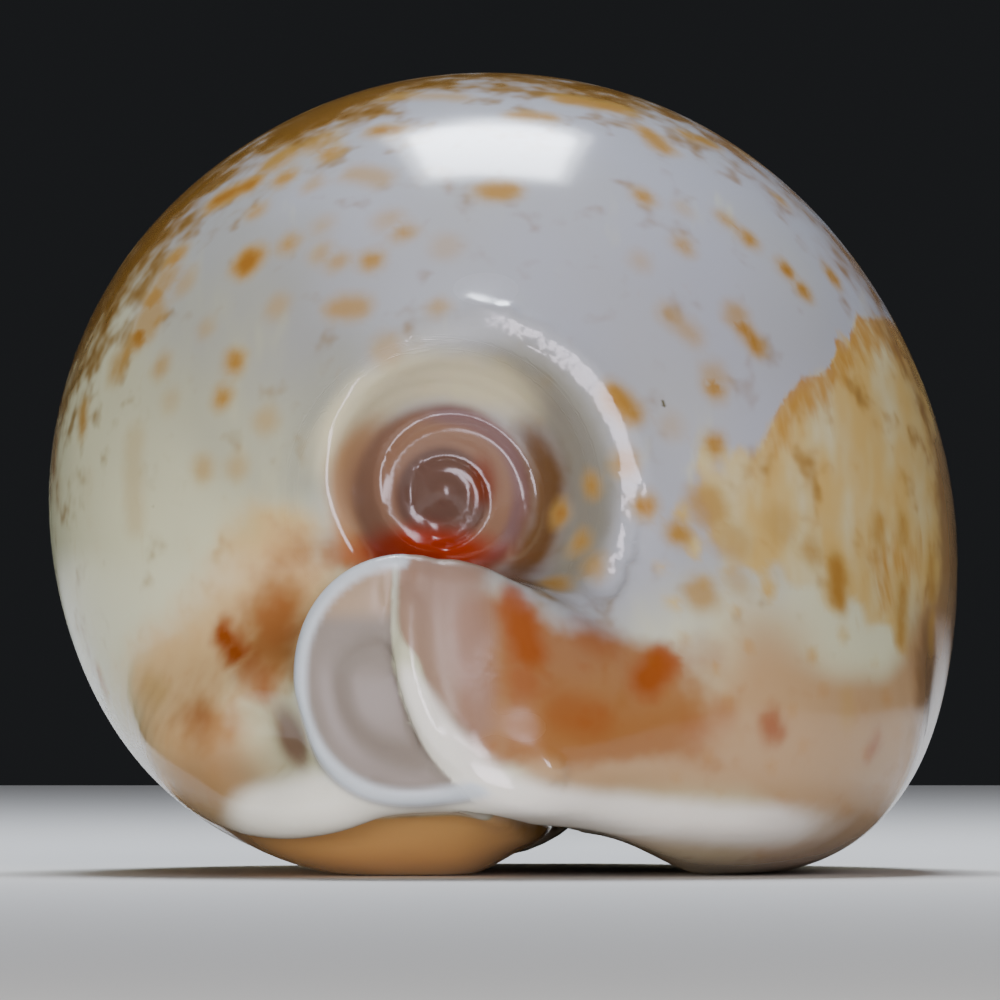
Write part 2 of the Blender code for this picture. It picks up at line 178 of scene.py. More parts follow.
def spire_turns(x, z):
    """Radius from the spire's axis, and the count of whorls out along the coil."""
    radius = np.hypot(x - SPIRE_X, z - SPIRE_Z) + 1e-6
    clockwise = -np.arctan2(z - SPIRE_Z, x - SPIRE_X) / (2 * np.pi)
    return radius, np.log(radius / COIL_START) / np.log(COIL_GROWTH) - clockwise


def clockwise_from_canal(x, z):
    """0 at the canal's left side, then clockwise round the spire's axis to 1."""
    return np.mod(-np.arctan2(z - SPIRE_Z, x - SPIRE_X) / (2 * np.pi) - 0.27, 1.0)


def crest_radius(x, z):
    """Radius of the outermost shoulder, which opens clockwise from the canal."""
    clockwise = clockwise_from_canal(x, z)
    opening = ease(clockwise, 0.12, 0.56) - ease(clockwise, 0.93, 1)
    return 6.3 + 4.35 * opening


def spire_pit(x, y, z):
    """The space of the umbilicus: negative inside it, in front of its floor."""
    radius, turns = spire_turns(x, z)
    share = radius / crest_radius(x, z)
    floor = PIT_FLOOR_Y - 5.4 * ease(share, 0.45, 1.12) ** 1.1
    floor = floor - 6.0 * np.clip(share - 1.05, 0.0, 2.0)
    phase = 2 * np.pi * (turns - 0.1)
    whorls = -(np.sin(phase) + 0.4 * np.sin(2 * phase) + 0.12 * np.sin(3 * phase)) / 1.15
    height = np.minimum(0.07 * radius, RIDGE_HEIGHT) * (1.0 - 0.55 * ease(share, 0.5, 0.75))
    height = height * fade(share, 0.82, 1.02)
    nucleus = 0.7 * bell(radius, 0, 1.2)
    return (y - floor + height * whorls + nucleus) * 0.8


def crest_bump(x, z):
    """How far the rounded shoulder round the umbilicus stands up from the whorl."""
    radius, _ = spire_turns(x, z)
    clockwise = clockwise_from_canal(x, z)
    strength = ease(clockwise, 0, 0.3) * fade(clockwise, 0.8, 0.93)
    past = radius / crest_radius(x, z) - 0.98
    return 0.9 * strength * bell(past, 0, 0.18 + 0.09 * ease(past, 0, 0.12))


# The flat worn along the right shoulder of the umbilicus: radius, half width and
# tilt, then its level at places counted clockwise from the canal
STEP_RADIUS = 11.65
STEP_HALF = 0.65
STEP_TILT = 0.065
STEP_LEVELS = (
    (0.49, -35.95), (0.52, -35.96), (0.56, -36.02), (0.605, -36.2), (0.647, -36.36),
    (0.688, -36.48), (0.73, -36.62), (0.772, -36.9), (0.80, -37.2), (0.835, -37.5),
)


def stepped(body, x, y, z):
    """The body with the narrow flat worn into it round the spire's axis."""
    places, levels = zip(*STEP_LEVELS)
    radius, _ = spire_turns(x, z)
    clockwise = clockwise_from_canal(x, z)
    level = np.interp(clockwise, places, levels) + STEP_TILT * (radius - STEP_RADIUS)
    around = 2 * np.pi * clockwise
    ragged = 0.10 * np.sin(37.0 * around) + 0.08 * np.sin(61.0 * around + 1.0)
    share = fade(np.abs(radius - STEP_RADIUS + ragged), STEP_HALF - 0.1, STEP_HALF + 0.45)
    share = share * ease(-y, 27, 30) * ease(clockwise, places[0], places[1])
    share = share * fade(clockwise, places[-2], places[-1])
    return body * (1.0 - share) + (level - y) * 0.85 * share


def worn_ridge(body, x, y, z):
    """The body with a narrow flat along the outer lip's foremost ridge."""
    along = x + 3.2
    middle = 9.3 - 0.62 * along + 0.035 * along**2
    level = -44.64 + 0.05 * x + 0.03 * (z - 7.5)
    ragged = 0.13 * np.sin(7.0 * x) + 0.10 * np.sin(12.3 * x + 1.0)
    share = fade(np.abs(z - middle + ragged), 0.5, 1) * ease(-y, 38, 40)
    share = share * ease(x, -3.8, -2.8) * fade(x, 3.2, 4.4)
    return body * (1.0 - share) + (level - y) * 0.85 * share


def tube(x, y, z, points, samples):
    """A round rod along a smooth path. Each point is x, y, z and the rod's radius there."""
    path = spline(points, samples)
    margin = path[:, 3].max() + 9.0
    near = np.ones(x.shape, bool)
    for place, row in zip((x, y, z), path.T):
        near &= (place > row.min() - margin) & (place < row.max() + margin)
    result = np.full(x.shape, 30.0, x.dtype)
    px, py, pz = x[near], y[near], z[near]
    best = np.full(px.shape, 30.0, x.dtype)
    for (ax, ay, az, ar), (bx, by, bz, br) in zip(path[:-1], path[1:]):
        dx, dy, dz = bx - ax, by - ay, bz - az
        t = ((px - ax) * dx + (py - ay) * dy + (pz - az) * dz) / (dx * dx + dy * dy + dz * dz)
        t = np.clip(t, 0.0, 1.0)
        gap = np.sqrt((px - ax - t * dx) ** 2 + (py - ay - t * dy) ** 2 + (pz - az - t * dz) ** 2)
        best = np.minimum(best, gap - ar - t * (br - ar))
    result[near] = best
    return result


def egg(x, y, z, centre, half, power):
    """An ellipsoid, squarer for a higher power."""
    out = [np.abs(place - c) / h for place, c, h in zip((x, y, z), centre, half)]
    level = sum(u**power for u in out) ** (1.0 / power) + 1e-6
    slope = np.sqrt(sum((u ** (power - 1) / h) ** 2 for u, h in zip(out, half)))
    return (level - 1.0) / np.maximum(slope / level ** (power - 1), 0.02)


# The rolled end of the outer lip, faced from the spire end: points (x, z)
LIP_EDGE = (
    (-5.9, 22.5), (-5.95, 19.5), (-6, 16), (-5.6, 12.4), (-4.2, 8.9),
    (-2.4, 6.7), (-0.8, 5.4), (2.8, 4.2), (7.6, 3.6), (14, 3), (24, 2.8),
)


def nearest_on_path(path, u, v):
    """Distance to a flat path, both ends of its nearest segment, and the share of the way along."""
    best = np.full(u.shape, 1e6, u.dtype)
    which = np.zeros(u.shape, int)
    share = np.zeros(u.shape, u.dtype)
    for index, ((au, av), (bu, bv)) in enumerate(zip(path[:-1, :2], path[1:, :2])):
        du, dv = bu - au, bv - av
        t = np.clip(((u - au) * du + (v - av) * dv) / (du * du + dv * dv), 0.0, 1.0)
        gap = (u - au - t * du) ** 2 + (v - av - t * dv) ** 2
        closer = gap < best
        best = np.where(closer, gap, best)
        which = np.where(closer, index, which)
        share = np.where(closer, t, share)
    return np.sqrt(best), path[which], path[which + 1], share[:, None]


def lip_side(x, y, z):
    """Signed distance in the view from the spire end: positive on the outer lip's side."""
    result = np.full(x.shape, -20.0, x.dtype)
    near = y < -22.0
    px, pz = x[near], z[near]
    gap, start, end, _ = nearest_on_path(spline(LIP_EDGE, 140), px, pz)
    dx, dz = (end - start).T
    result[near] = gap * np.sign(dx * (pz - start[:, 1]) - dz * (px - start[:, 0]))
    return result


# Swellings and hollows of the outside: rods, each point with its radius, and ellipsoids
# with their centre, half sizes and squareness
OUTER_LIP = (
    (-4, -40.4, 9.5, 3.4), (0, -39.8, 7.8, 3.5), (5, -37.6, 6.9, 3.7),
    (10.5, -34.2, 6.7, 4.2), (15.5, -29.2, 7.2, 5.2), (18.4, -22, 9.3, 6.8),
)
FOOT = (
    (-2.6, -41.6, 5.9, 1.2), (-7.4, -41.7, 5.4, 1.5), (-10.9, -40.2, 4.7, 1.9),
    (-14, -37.4, 4.7, 2.2), (-16.8, -33.4, 5.8, 2.6), (-19, -28, 8.2, 3.2),
    (-19, -18, 12, 5),
)
TROUGH = (
    (2, -46, -2.6, 4.6), (4.5, -30, -2.8, 5.2), (5.6, -10, -2.8, 5.6),
    (5.6, 8, -2.8, 5.6), (4, 28, -2.8, 5.2), (2.4, 48, -2.4, 4.6),
)
SWELL = (6, -25, 12), (16.5, 15.6, 11), 2.1
SOLE = (-7.5, -24, 9.6), (13.5, 17, 9.6), 2
BEAK = (1.6, 32, 7.2), (8.2, 11.6, 6.2), 2.4
DENT = (-16, -41.5, 8.9), (2.8, 6, 2.5), 2


def envelope(x, y, z):
    """The shell's outside, as if nothing were hollow."""
    body = whorl(x, y, z) - crest_bump(x, z) * ease(-y, 18, 26)
    body = blend_min(body, egg(x, y, z, *SWELL), 6)
    body = blend_max(body, -spire_pit(x, y, z), 1.6)
    body = blend_min(body, tube(x, y, z, OUTER_LIP, 60), 5)
    body = blend_min(body, tube(x, y, z, FOOT, 40), 3)
    body = blend_min(body, egg(x, y, z, *SOLE), 3)
    body = blend_min(body, head(x, y, z), 1.5 + 6.5 * ease(x, -4, 3))
    body = worn_ridge(stepped(body, x, y, z), x, y, z)
    body = blend_min(body, egg(x, y, z, *BEAK), 5)
    body = blend_max(body, -egg(x, y, z, *DENT), 2.4)
    return blend_max(body, -tube(x, y, z, TROUGH, 40), 3.5)


# The stub at the spire end, and the canal in its face
HEAD_X = -5.65
HEAD_Z = 12.55
RIM = 0.85
CANAL_DEPTH = 2.0


def head_sides(x, y, z):
    """Distance from the side wall of the stub at the spire end."""
    taper = 1.0 - 0.012 * np.clip(y + 44.0, 0.0, 12.0)
    across = x - HEAD_X
    u = np.abs(across) / (7.5 + 2.6 * ease(across, -1, 5)) / taper
    w = np.abs(z - HEAD_Z) / (7.9 * taper)
    return ((u**2.15 + w**2.15) ** (1.0 / 2.15) - 1.0) * 7.6


def head_face(x, z):
    """How far forward the stub's face stands."""
    return -44.5 + 0.03 * (x + 6.0) ** 2 + 0.016 * (z - 12.0) ** 2


def head(x, y, z):
    """The stub at the spire end that both lips run into, round the canal."""
    stub = blend_max(head_sides(x, y, z), head_face(x, z) - y, 1.4)
    return blend_max(stub, y + 26.0, 3)


def canal_bowl(x, y, z):
    """The spoon that the inner lip forms in the stub's face, running in behind the outer lip."""
    inside = np.clip(-head_sides(x, y, z) - RIM, -5.0, 12.0)
    depth = CANAL_DEPTH * (1.0 - 0.78 * ease(z, 12.5, 19)) * fade(x, -3, 1.5)
    bowl = 1.0 - (1.0 - np.clip((inside + 0.3) / 7.2, 0.0, 1.0)) ** 2
    floor = head_face(x, z) + depth * bowl - 1.5 * ease(x, -1, 2)
    return np.maximum((y - floor) * 0.6, -inside)


# The aperture in plan, from the canal to the far end: x, y, half its width, top of the slit
SLIT = (
    (-1.6, -41, 1.2, 14), (-0.4, -39.6, 1.2, 12.5), (1.2, -36.4, 1.2, 10.5),
    (2.6, -31, 1.25, 9), (4.2, -22, 1.35, 9.5), (4.9, -10, 1.5, 10),
    (4.8, 4, 1.6, 10), (4, 18, 1.75, 9.5), (3, 30, 1.9, 8.5),
    (2.2, 39, 2.1, 7), (1.8, 47, 2.4, 6.5),
)


def slit_field(x, y, z):
    """The aperture: negative in the open slit."""
    result = np.full(x.shape, 20.0, x.dtype)
    near = z < 20.0
    px, py, pz = x[near], y[near], z[near]
    lean = px - 0.18 * (pz - 3.0) * ease(py, -38, -20)
    lean = lean + 0.38 * (pz - 5.0) * fade(py, -42, -30)
    gap, start, end, share = nearest_on_path(spline(SLIT, 60), lean, py)
    half, top = (start + share * (end - start)).T[2:]
    result[near] = blend_max(gap - half, pz - top, 1.5)
    return result


# The groove that the aperture ends in at the far end: a rod's points, each with its radius
SPOUT = (3.6, 22, 3.4, 1.6), (2.6, 31, 4.2, 2), (1.9, 40, 5.4, 2.5), (1.6, 50, 7.6, 2.9)


def hollow(x, y, z, outside):
    """Everything that is cut from the envelope: the canal, the aperture and the chamber."""
    slit = slit_field(x, y, z)
    bowl = canal_bowl(x, y, z)
    cut = blend_min(slit, bowl, 1.6)
    cut = blend_min(cut, tube(x, y, z, SPOUT, 16), 2)
    chamber = blend_max(outside + WALL, BASE_WALL - z, 6)
    chamber = blend_max(chamber, CHAMBER_FRONT_Y - y, 6)
    return blend_min(cut, chamber, 2), bowl


def shell_field(x, y, z):
    """Negative in the porcelain, positive outside it, near the distance in millimetres."""
    side = lip_side(x, y, z)
    front = ease(-y, 24, 28)
    outside = envelope(x, y, z)
    outside = outside + 0.14 * front * bell(side, 1.9, 0.7) * ease(z, 4, 8)
    seam = ease(z, 13.5, 16.5) * fade(z, 18.4, 20.2) * ease(-y, 39, 41)
    outside = outside + 0.5 * seam * bell(side, -1, 0.6)
    cut, bowl = hollow(x, y, z, outside)
    shell = blend_max(outside, -cut, 0.9)
    sheet = blend_max(np.maximum(outside, -outside - 1.5), -side, 0.8) + 9.0 * (1.0 - front)
    lip_back = -40.4 + 0.3 * np.clip(x, -4.0, 24.0) + 0.028 * np.clip(x, 0.0, 24.0) ** 2
    sheet = blend_max(sheet, y - lip_back, 1)
    roll = np.hypot(side, outside + 0.7) - 0.85 + 1.5 * ease(z, 17, 20) + 1.5 * ease(x, 15, 22)
    roll = blend_max(roll + 9.0 * (1.0 - front), y - lip_back, 1)
    rim = blend_max(np.hypot(outside + 0.5, bowl - 0.4) - 0.5, side + 0.4, 0.5)
    shell = blend_min(shell, rim + 9.0 * fade(-y, 30, 34), 0.6)
    shell = np.minimum(shell, sheet)
    shell = blend_min(shell, roll, 0.8)
    return blend_max(shell, -z, 0.12)


# The grid's planes across x, y and z: places and the spacing at each, in mm
GRID = (
    ((-31, 0.64), (-18, 0.57), (-14, 0.43), (4, 0.43), (8, 0.57), (31, 0.64)),
    ((-47, 0.42), (-33, 0.46), (-26, 0.62), (-10, 0.9), (0, 1.3), (47.5, 1.3)),
    ((-2, 0.57), (4, 0.45), (34, 0.45), (40, 0.64), (53, 0.64)),
)


def axis_steps(stops):
    """A row of planes whose spacing changes along it."""
    places, gaps = zip(*stops)
    row = [places[0]]
    while row[-1] < places[-1]:
        row.append(row[-1] + float(np.interp(row[-1], places, gaps)))
    return np.array(row)


def every(planes, stride):
    """Every so many planes, and always the last."""
    picked = planes[::stride]
    return picked if picked[-1] == planes[-1] else np.append(picked, planes[-1])


def field_on_grid(planes, stride=8, margin=0.85):
    """The field on the whole grid coarsely, then twice as finely wherever the surface may pass."""
    coarse = [every(axis, stride) for axis in planes]
    values = shell_field(*np.meshgrid(*coarse, indexing="ij"))
    while stride > 1:
        stride //= 2
        finer = [every(axis, stride) for axis in planes]
        reach = 0.0
        for axis in range(3):
            old, new = coarse[axis], finer[axis]
            index = np.clip(np.searchsorted(old, new, "right") - 1, 0, len(old) - 2)
            shape = [1, 1, 1]
            shape[axis] = len(new)
            cell = (old[index + 1] - old[index]).reshape(shape)
            share = (new - old[index]).reshape(shape) / cell
            low = np.take(values, index, axis)
            values = low + (np.take(values, index + 1, axis) - low) * share
            reach = reach + cell**2
        near = np.abs(values) < margin * np.sqrt(reach)
        x, y, z = np.meshgrid(*finer, indexing="ij")
        values[near] = shell_field(x[near], y[near], z[near])
        coarse = finer
    return values


def surface(planes):
    """Points and quads of the field's zero surface, over a grid of planes."""
    values = field_on_grid(planes)
    grid = openvdb.FloatGrid(float(values.max()))
    grid.copyFromArray(values.astype(np.float32))
    points, quads = grid.convertToQuads(0.0)
    points = np.stack([
        np.interp(points[:, axis], np.arange(len(planes[axis])), planes[axis]) for axis in range(3)
    ], axis=1)
    return settle(points), quads


def slope_of(field, points, step):
    """A field's slope at each point, from a step either way along each axis."""
    x, y, z = points.T
    return np.stack([
        field(x + step, y, z) - field(x - step, y, z),
        field(x, y + step, z) - field(x, y - step, z),
        field(x, y, z + step) - field(x, y, z - step),
    ], axis=1) / (2 * step)


def settle(points, rounds=2, furthest=0.3):
    """Moves each point along the slope of the field onto its zero surface."""
    for _ in range(rounds):
        slope = slope_of(shell_field, points, 0.05)
        steep = np.maximum((slope**2).sum(axis=1), 0.05)
        move = -(shell_field(*points.T) / steep)[:, None] * slope
        far = np.linalg.norm(move, axis=1, keepdims=True)
        points = points + move * np.minimum(1.0, furthest / np.maximum(far, 1e-9))
    return points


# Where the pigment lies. Places are in the view from the spire end: x, z and
# radius in mm, then how strong the mark is. A streak has a second end.

FACE_SPOTS = (
    (-13.7, 44, 0.6, 0.6), (-11.9, 43.6, 0.4, 0.4), (-15.5, 41.9, 0.45, 0.5),
    (-10.8, 45.6, 0.65, 0.6), (-16, 38.7, 1, 0.95), (-13.4, 39.8, 0.5, 0.55),
    (-11.3, 41, 0.45, 0.3), (-11.4, 39.2, 0.5, 0.4), (-10.3, 38.7, 0.45, 0.45),
    (-8.2, 38.7, 0.5, 0.6), (-6.2, 40.5, 0.5, 0.55), (-7.2, 41.3, 0.6, 0.35),
    (-3.5, 39.6, 0.75, 0.25), (-14.1, 35.8, 0.55, 0.35), (-4, 35.8, 0.35, 0.45),
    (-7.2, 33.1, 0.8, 0.35), (-16.8, 32.4, 0.55, 0.75), (-17.6, 30.1, 0.45, 0.65),
    (-18.6, 34.5, 0.3, 0.35), (-14.8, 28.6, 0.6, 0.35), (-18.8, 25.6, 0.6, 0.4),
    (-16.6, 25.7, 0.5, 0.35), (-21.5, 32.1, 0.55, 0.45), (-22.7, 34.3, 1, 0.85),
    (-20.6, 39, 0.75, 0.6), (-20, 37.4, 0.7, 0.35), (-22, 36.4, 0.9, 0.6),
    (-23.9, 32.7, 0.6, 0.6), (-20.9, 29.9, 0.5, 0.25), (-22.3, 35, 1.5, 0.45),
    (-21.2, 37.6, 1.1, 0.4), (-24.2, 32.2, 1.1, 0.4), (-14, 45.2, 1.3, 0.4), (-11.6, 46.2, 1.2, 0.35),
    (8.9, 42.8, 0.5, 0.6), (11.4, 42, 0.3, 0.3), (11.4, 39.7, 0.45, 0.5),
    (8.7, 38.7, 0.4, 0.3), (14.2, 41.3, 0.45, 0.5), (15.6, 40.1, 0.5, 0.75),
    (17.9, 38.2, 0.5, 0.9), (19, 36.9, 0.45, 0.8), (20.9, 37.8, 0.5, 0.9),
    (14.8, 35.2, 0.75, 0.45), (13.4, 30.7, 0.5, 0.8), (13.4, 31.4, 0.7, 0.4), (13.3, 27.1, 0.5, 0.85),
    (7.7, 26, 0.5, 0.75), (5.6, 24.6, 0.45, 0.65), (8.9, 23.3, 0.55, 0.85),
    (3.7, 22.8, 0.5, 0.9), (4.9, 21, 0.5, 0.6), (5.8, 19.5, 0.5, 0.45),
    (3.35, 18.4, 0.65, 0.6), (10.6, 28.3, 0.5, 0.25), (12.9, 23.3, 1.3, 0.5),
    (11.1, 21.6, 0.6, 0.65), (14.4, 21.1, 1.2, 0.4), (12.5, 17.8, 0.95, 0.5),
    (14.7, 18.6, 0.7, 0.35), (17.5, 22.1, 1, 0.35), (19.5, 20.4, 0.7, 0.5),
    (17.6, 42.7, 0.3, 0.5), (15.5, 45.6, 0.3, 0.6),
)
FACE_STREAKS = (
    (-18, 42.6, -15.9, 43.6, 0.7, 0.9), (-7.8, 47, -6.7, 47, 0.5, 0.8),
    (-9.3, 44.3, -7.6, 43.9, 0.55, 0.4), (-10.3, 35.7, -9, 35.8, 0.6, 0.5),
    (-0.7, 43.1, 0.3, 43.2, 0.7, 0.65), (10.5, 35.4, 12, 34, 0.45, 0.4),
    (15.2, 34.5, 16, 33.4, 0.4, 0.85), (7.1, 30.2, 8.1, 29.2, 0.6, 0.75),
    (0.9, 47.9, 2.9, 47.8, 0.45, 0.7), (4, 49, 7.5, 48.4, 0.8, 0.6),
    (9.2, 46.9, 10.1, 46, 0.7, 0.6), (11.7, 46.8, 13.3, 46.2, 0.35, 0.75),
    (-26.5, 29.4, -26.5, 28.2, 0.4, 0.6), (-23.2, 27.5, -23.1, 22.4, 0.75, 0.22),
    (-25.5, 12.7, -25.1, 11.6, 0.35, 0.7), (-22.3, 12.1, -21.4, 11.4, 0.5, 0.3),
    (21.1, 19.4, 21.1, 17.6, 0.75, 0.75), (25.3, 18, 25.1, 14.9, 0.4, 0.6),
    (25.3, 22.3, 25.3, 21.3, 0.35, 0.6), (23.8, 22.3, 23.7, 21.3, 0.4, 0.55),
    (27.2, 19.6, 27.2, 17.8, 0.3, 0.6), (27.2, 16, 27.1, 14.4, 0.3, 0.5),
    (21.7, 11.2, 21.7, 10, 0.4, 0.25), (-7, 49.2, -2.6, 49.1, 0.45, 0.4),
)
RUST_SPOTS = (
    (-17.5, 15.3, -16.6, 13.9, 0.65, 1), (-16.1, 13.2, -15, 12, 0.8, 0.55),
    (9.1, 12.4, 10.1, 13.6, 0.9, 0.9), (16.8, 9.8, 17, 9.3, 0.7, 0.8),
    (0.7, 17.4, 1.7, 14.2, 0.9, 0.85), (1.2, 12.6, 1.4, 12.2, 0.8, 0.5),
    (4, 10.4, 5.8, 10, 1, 0.4), (12.2, 9.2, 13.8, 10.2, 0.7, 0.35),
    (23.6, 8.6, 23.2, 7.8, 0.35, 0.55), (11.7, 14.2, 13, 14.1, 0.8, 0.35),
    (-19.4, 10.1, -18.9, 9.6, 0.8, 0.35), (5.2, 15.6, 6.2, 14.8, 0.9, 0.35),
    (-14.3, 16.8, -13.8, 15.4, 1.2, 0.3),
)
PITTED_DOTS = (
    (10.1, 29.7, 0.17, 1), (-1.1, 4.6, 0.16, 1), (-9.1, 11.75, 0.2, 0.45),
    (-22, 23.3, 0.12, 0.4), (-8.2, 6.4, 0.12, 0.3),
)
# The ochre patch's ragged upper edge, from its tip by the spire outward, and its foot: (x, z)
PATCH_EDGE = (
    (8, 19), (10.2, 22), (11.2, 24.4), (12.6, 27.6), (14.4, 26.9), (16, 26.7),
    (16.7, 28), (17.6, 29.8), (18.8, 31.1), (20.3, 31.6), (21, 32.4), (20.9, 33.9),
    (21.9, 33.4), (22.3, 35.3), (23.2, 34.9), (24.1, 35.2), (25.2, 34.4), (40, 35),
)
PATCH_FOOT = (
    (8, 18), (11, 20), (14, 19), (18, 18.2), (21, 17), (23.4, 15.6),
    (25.2, 14.4), (27, 13), (40, 11),
)
# The brown of the back shows round the whorl's upper left: its edge from the left over the top
BACK_EDGE = (
    (-27.5, 25), (-26.9, 30.6), (-24.9, 34.1), (-23.6, 36.2), (-21.2, 39), (-19.3, 41.6), (-18.1, 43.1),
    (-16.3, 44.6), (-14, 45.9), (-10.8, 46.2), (-8.6, 47.4), (-6.5, 48.4), (-3, 49), (2, 49.2),
    (8, 48.2), (15, 45.4), (21, 41),
)
BACK_SPOTS = 230  # how many are strewn over the back
# The upper edge of the white callus on the foot
FOOT_TOP = (-20, 3), (-17, 4.8), (-13, 5.9), (-10, 6.6), (-5, 6), (0, 5.2)


def face_depth(x, z):
    """Where the shell's front stands, at x and z: marched inward from in front of it."""
    y = np.full(x.shape, -47.0)
    for _ in range(60):
        y = y + np.clip(envelope(x, y, z), -0.5, 1.2) * 0.8
    return y


def spots_of_the_back():
    """Spots strewn over the shell behind its widest section, each moved onto the surface."""
    chance = np.random.default_rng(11)
    angle = chance.uniform(-0.25, np.pi + 0.25, BACK_SPOTS)
    y = chance.uniform(-9.0, 40.0, BACK_SPOTS)
    reach = 31.0 * np.sqrt(np.clip(1.0 - ((y + 5.0) / 50.0) ** 2, 0.05, 1.0))
    points = np.stack([reach * np.cos(angle), y, 20.0 + reach * np.sin(angle)], axis=1)
    for _ in range(14):
        slope = slope_of(envelope, points, 0.1)
        steep = np.maximum((slope**2).sum(axis=1), 0.05)
        points = points - np.clip(envelope(*points.T) / steep, -3.0, 3.0)[:, None] * slope
    radius = 0.35 + 1.15 * chance.random(BACK_SPOTS) ** 2.2
    strength = chance.uniform(0.35, 0.95, BACK_SPOTS)
    return np.column_stack([points, points, radius, strength])


def rods_on_the_face(spots, streaks):
    """Spots and streaks of the face as rods: both ends, radius and strength."""
    rows = [(x, z, x, z, radius, strength) for x, z, radius, strength in spots]
    x, z, end_x, end_z, radius, strength = np.array(rows + list(streaks)).T
    start = face_depth(x, z)
    end = face_depth(end_x, end_z)
    return np.column_stack([x, start, z, end_x, end, end_z, radius, strength])


def nearest_rod(points, rods):
    """How far each point is from the nearest rod's edge in mm, and how strong that rod is."""
    gap = np.full(len(points), 4.0)
    tone = np.zeros(len(points))
    for row in rods:
        start, end, radius, strength = row[:3], row[3:6], row[6], row[7]
        near = np.flatnonzero(np.linalg.norm(points - (start + end) / 2, axis=1) < 9.0)
        along = end - start
        share = np.clip((points[near] - start) @ along / max(along @ along, 1e-6), 0.0, 1.0)
        away = np.linalg.norm(points[near] - start - share[:, None] * along, axis=1) - radius
        closer = away < gap[near]
        gap[near[closer]] = away[closer]
        tone[near[closer]] = strength
    return gap, tone


def blotchy(cover, x, z):
    """A soft cover broken into blotches about 3 mm apart."""
    waves = np.sin(1.9 * x + 1.1 * z) + np.sin(2.3 * z - 1.3 * x + 1.0) + np.sin(3.1 * x + 0.7 * z + 0.4)
    return ease(cover + 0.2 * (1.1 - cover) * waves, 0.25, 0.75)


def above(x, z, points):
    """Height of a place over an open outline in the view from the spire end."""
    xs, zs = np.array(points, float).T
    return z - np.interp(x, xs, zs)


def beyond(x, z, points):
    """How far out a place lies past an outline that runs clockwise round the whorl's centre."""
    xs, zs = np.array(points, float).T
    turns = -np.unwrap(np.arctan2(zs - HEART_Z, xs))
    around = -np.mod(np.arctan2(z - HEART_Z, x) + 0.5 * np.pi, 2 * np.pi) + 0.5 * np.pi
    return np.hypot(x, z - HEART_Z) - np.interp(around, turns, np.hypot(xs, zs - HEART_Z))


def pit_marks(x, y, z):
    """The washes of the umbilicus, which follow the coil, with painted shade in its valley on the right
    and a deep red, partly painted shade, on its wall behind the stub, and where its surface is worn.
    """
    radius, _ = spire_turns(x, z)
    clock = np.arctan2(z - SPIRE_Z, x - SPIRE_X)
    sunk = ease(-y, 26, 30) * fade(-y, 38.5, 39.5)
    front = ease(-y, 24, 28)
    return {
        "pit": sunk * fade(radius, 4.7, 6.6),
        "pit_core": sunk * fade(radius, 2.4, 3.6),
        "pit_left": sunk * bell(radius, 6, 1.5) * ease(np.cos(clock - 3.35), 0.1, 0.9),
        "pit_cream": sunk * bell(radius, 7.4, 1.9) * ease(np.cos(clock - 1.85), 0, 0.9),
        "pit_slope": sunk * bell(radius, 9.2, 2.2) * ease(np.cos(clock - 0.25), 0.1, 0.9),
        "pit_ridge": sunk * bell(radius, 5, 0.7) * ease(np.cos(clock - 0.4), -0.3, 0.6),
        # Painted shade: dark brown in the valley inside the shoulder on the right.
        "pit_valley": sunk * bell(radius, 6.6, 1.3) * ease(np.cos(clock + 0.15), 0.35, 0.95),
        "pit_hot": sunk * bell(x, -1.2, 1) * bell(z, 24.8, 1.8),
        # The shell's own orange-red on the pit wall just above the stub, darkened with painted shade
        # where the stub hides the wall.
        "ember": sunk * bell(z, 20.4, 1.8) * bell(x, -4.8, 5.2),
        "thread": sunk * radius * fade(radius, 9, 10),
        "worn": front * bell(radius, 11.4, 1.2),
    }


def fore_part(y):
    """1 toward the spire end, fading to 0 behind the widest section."""
    return fade(y, -5, 12)


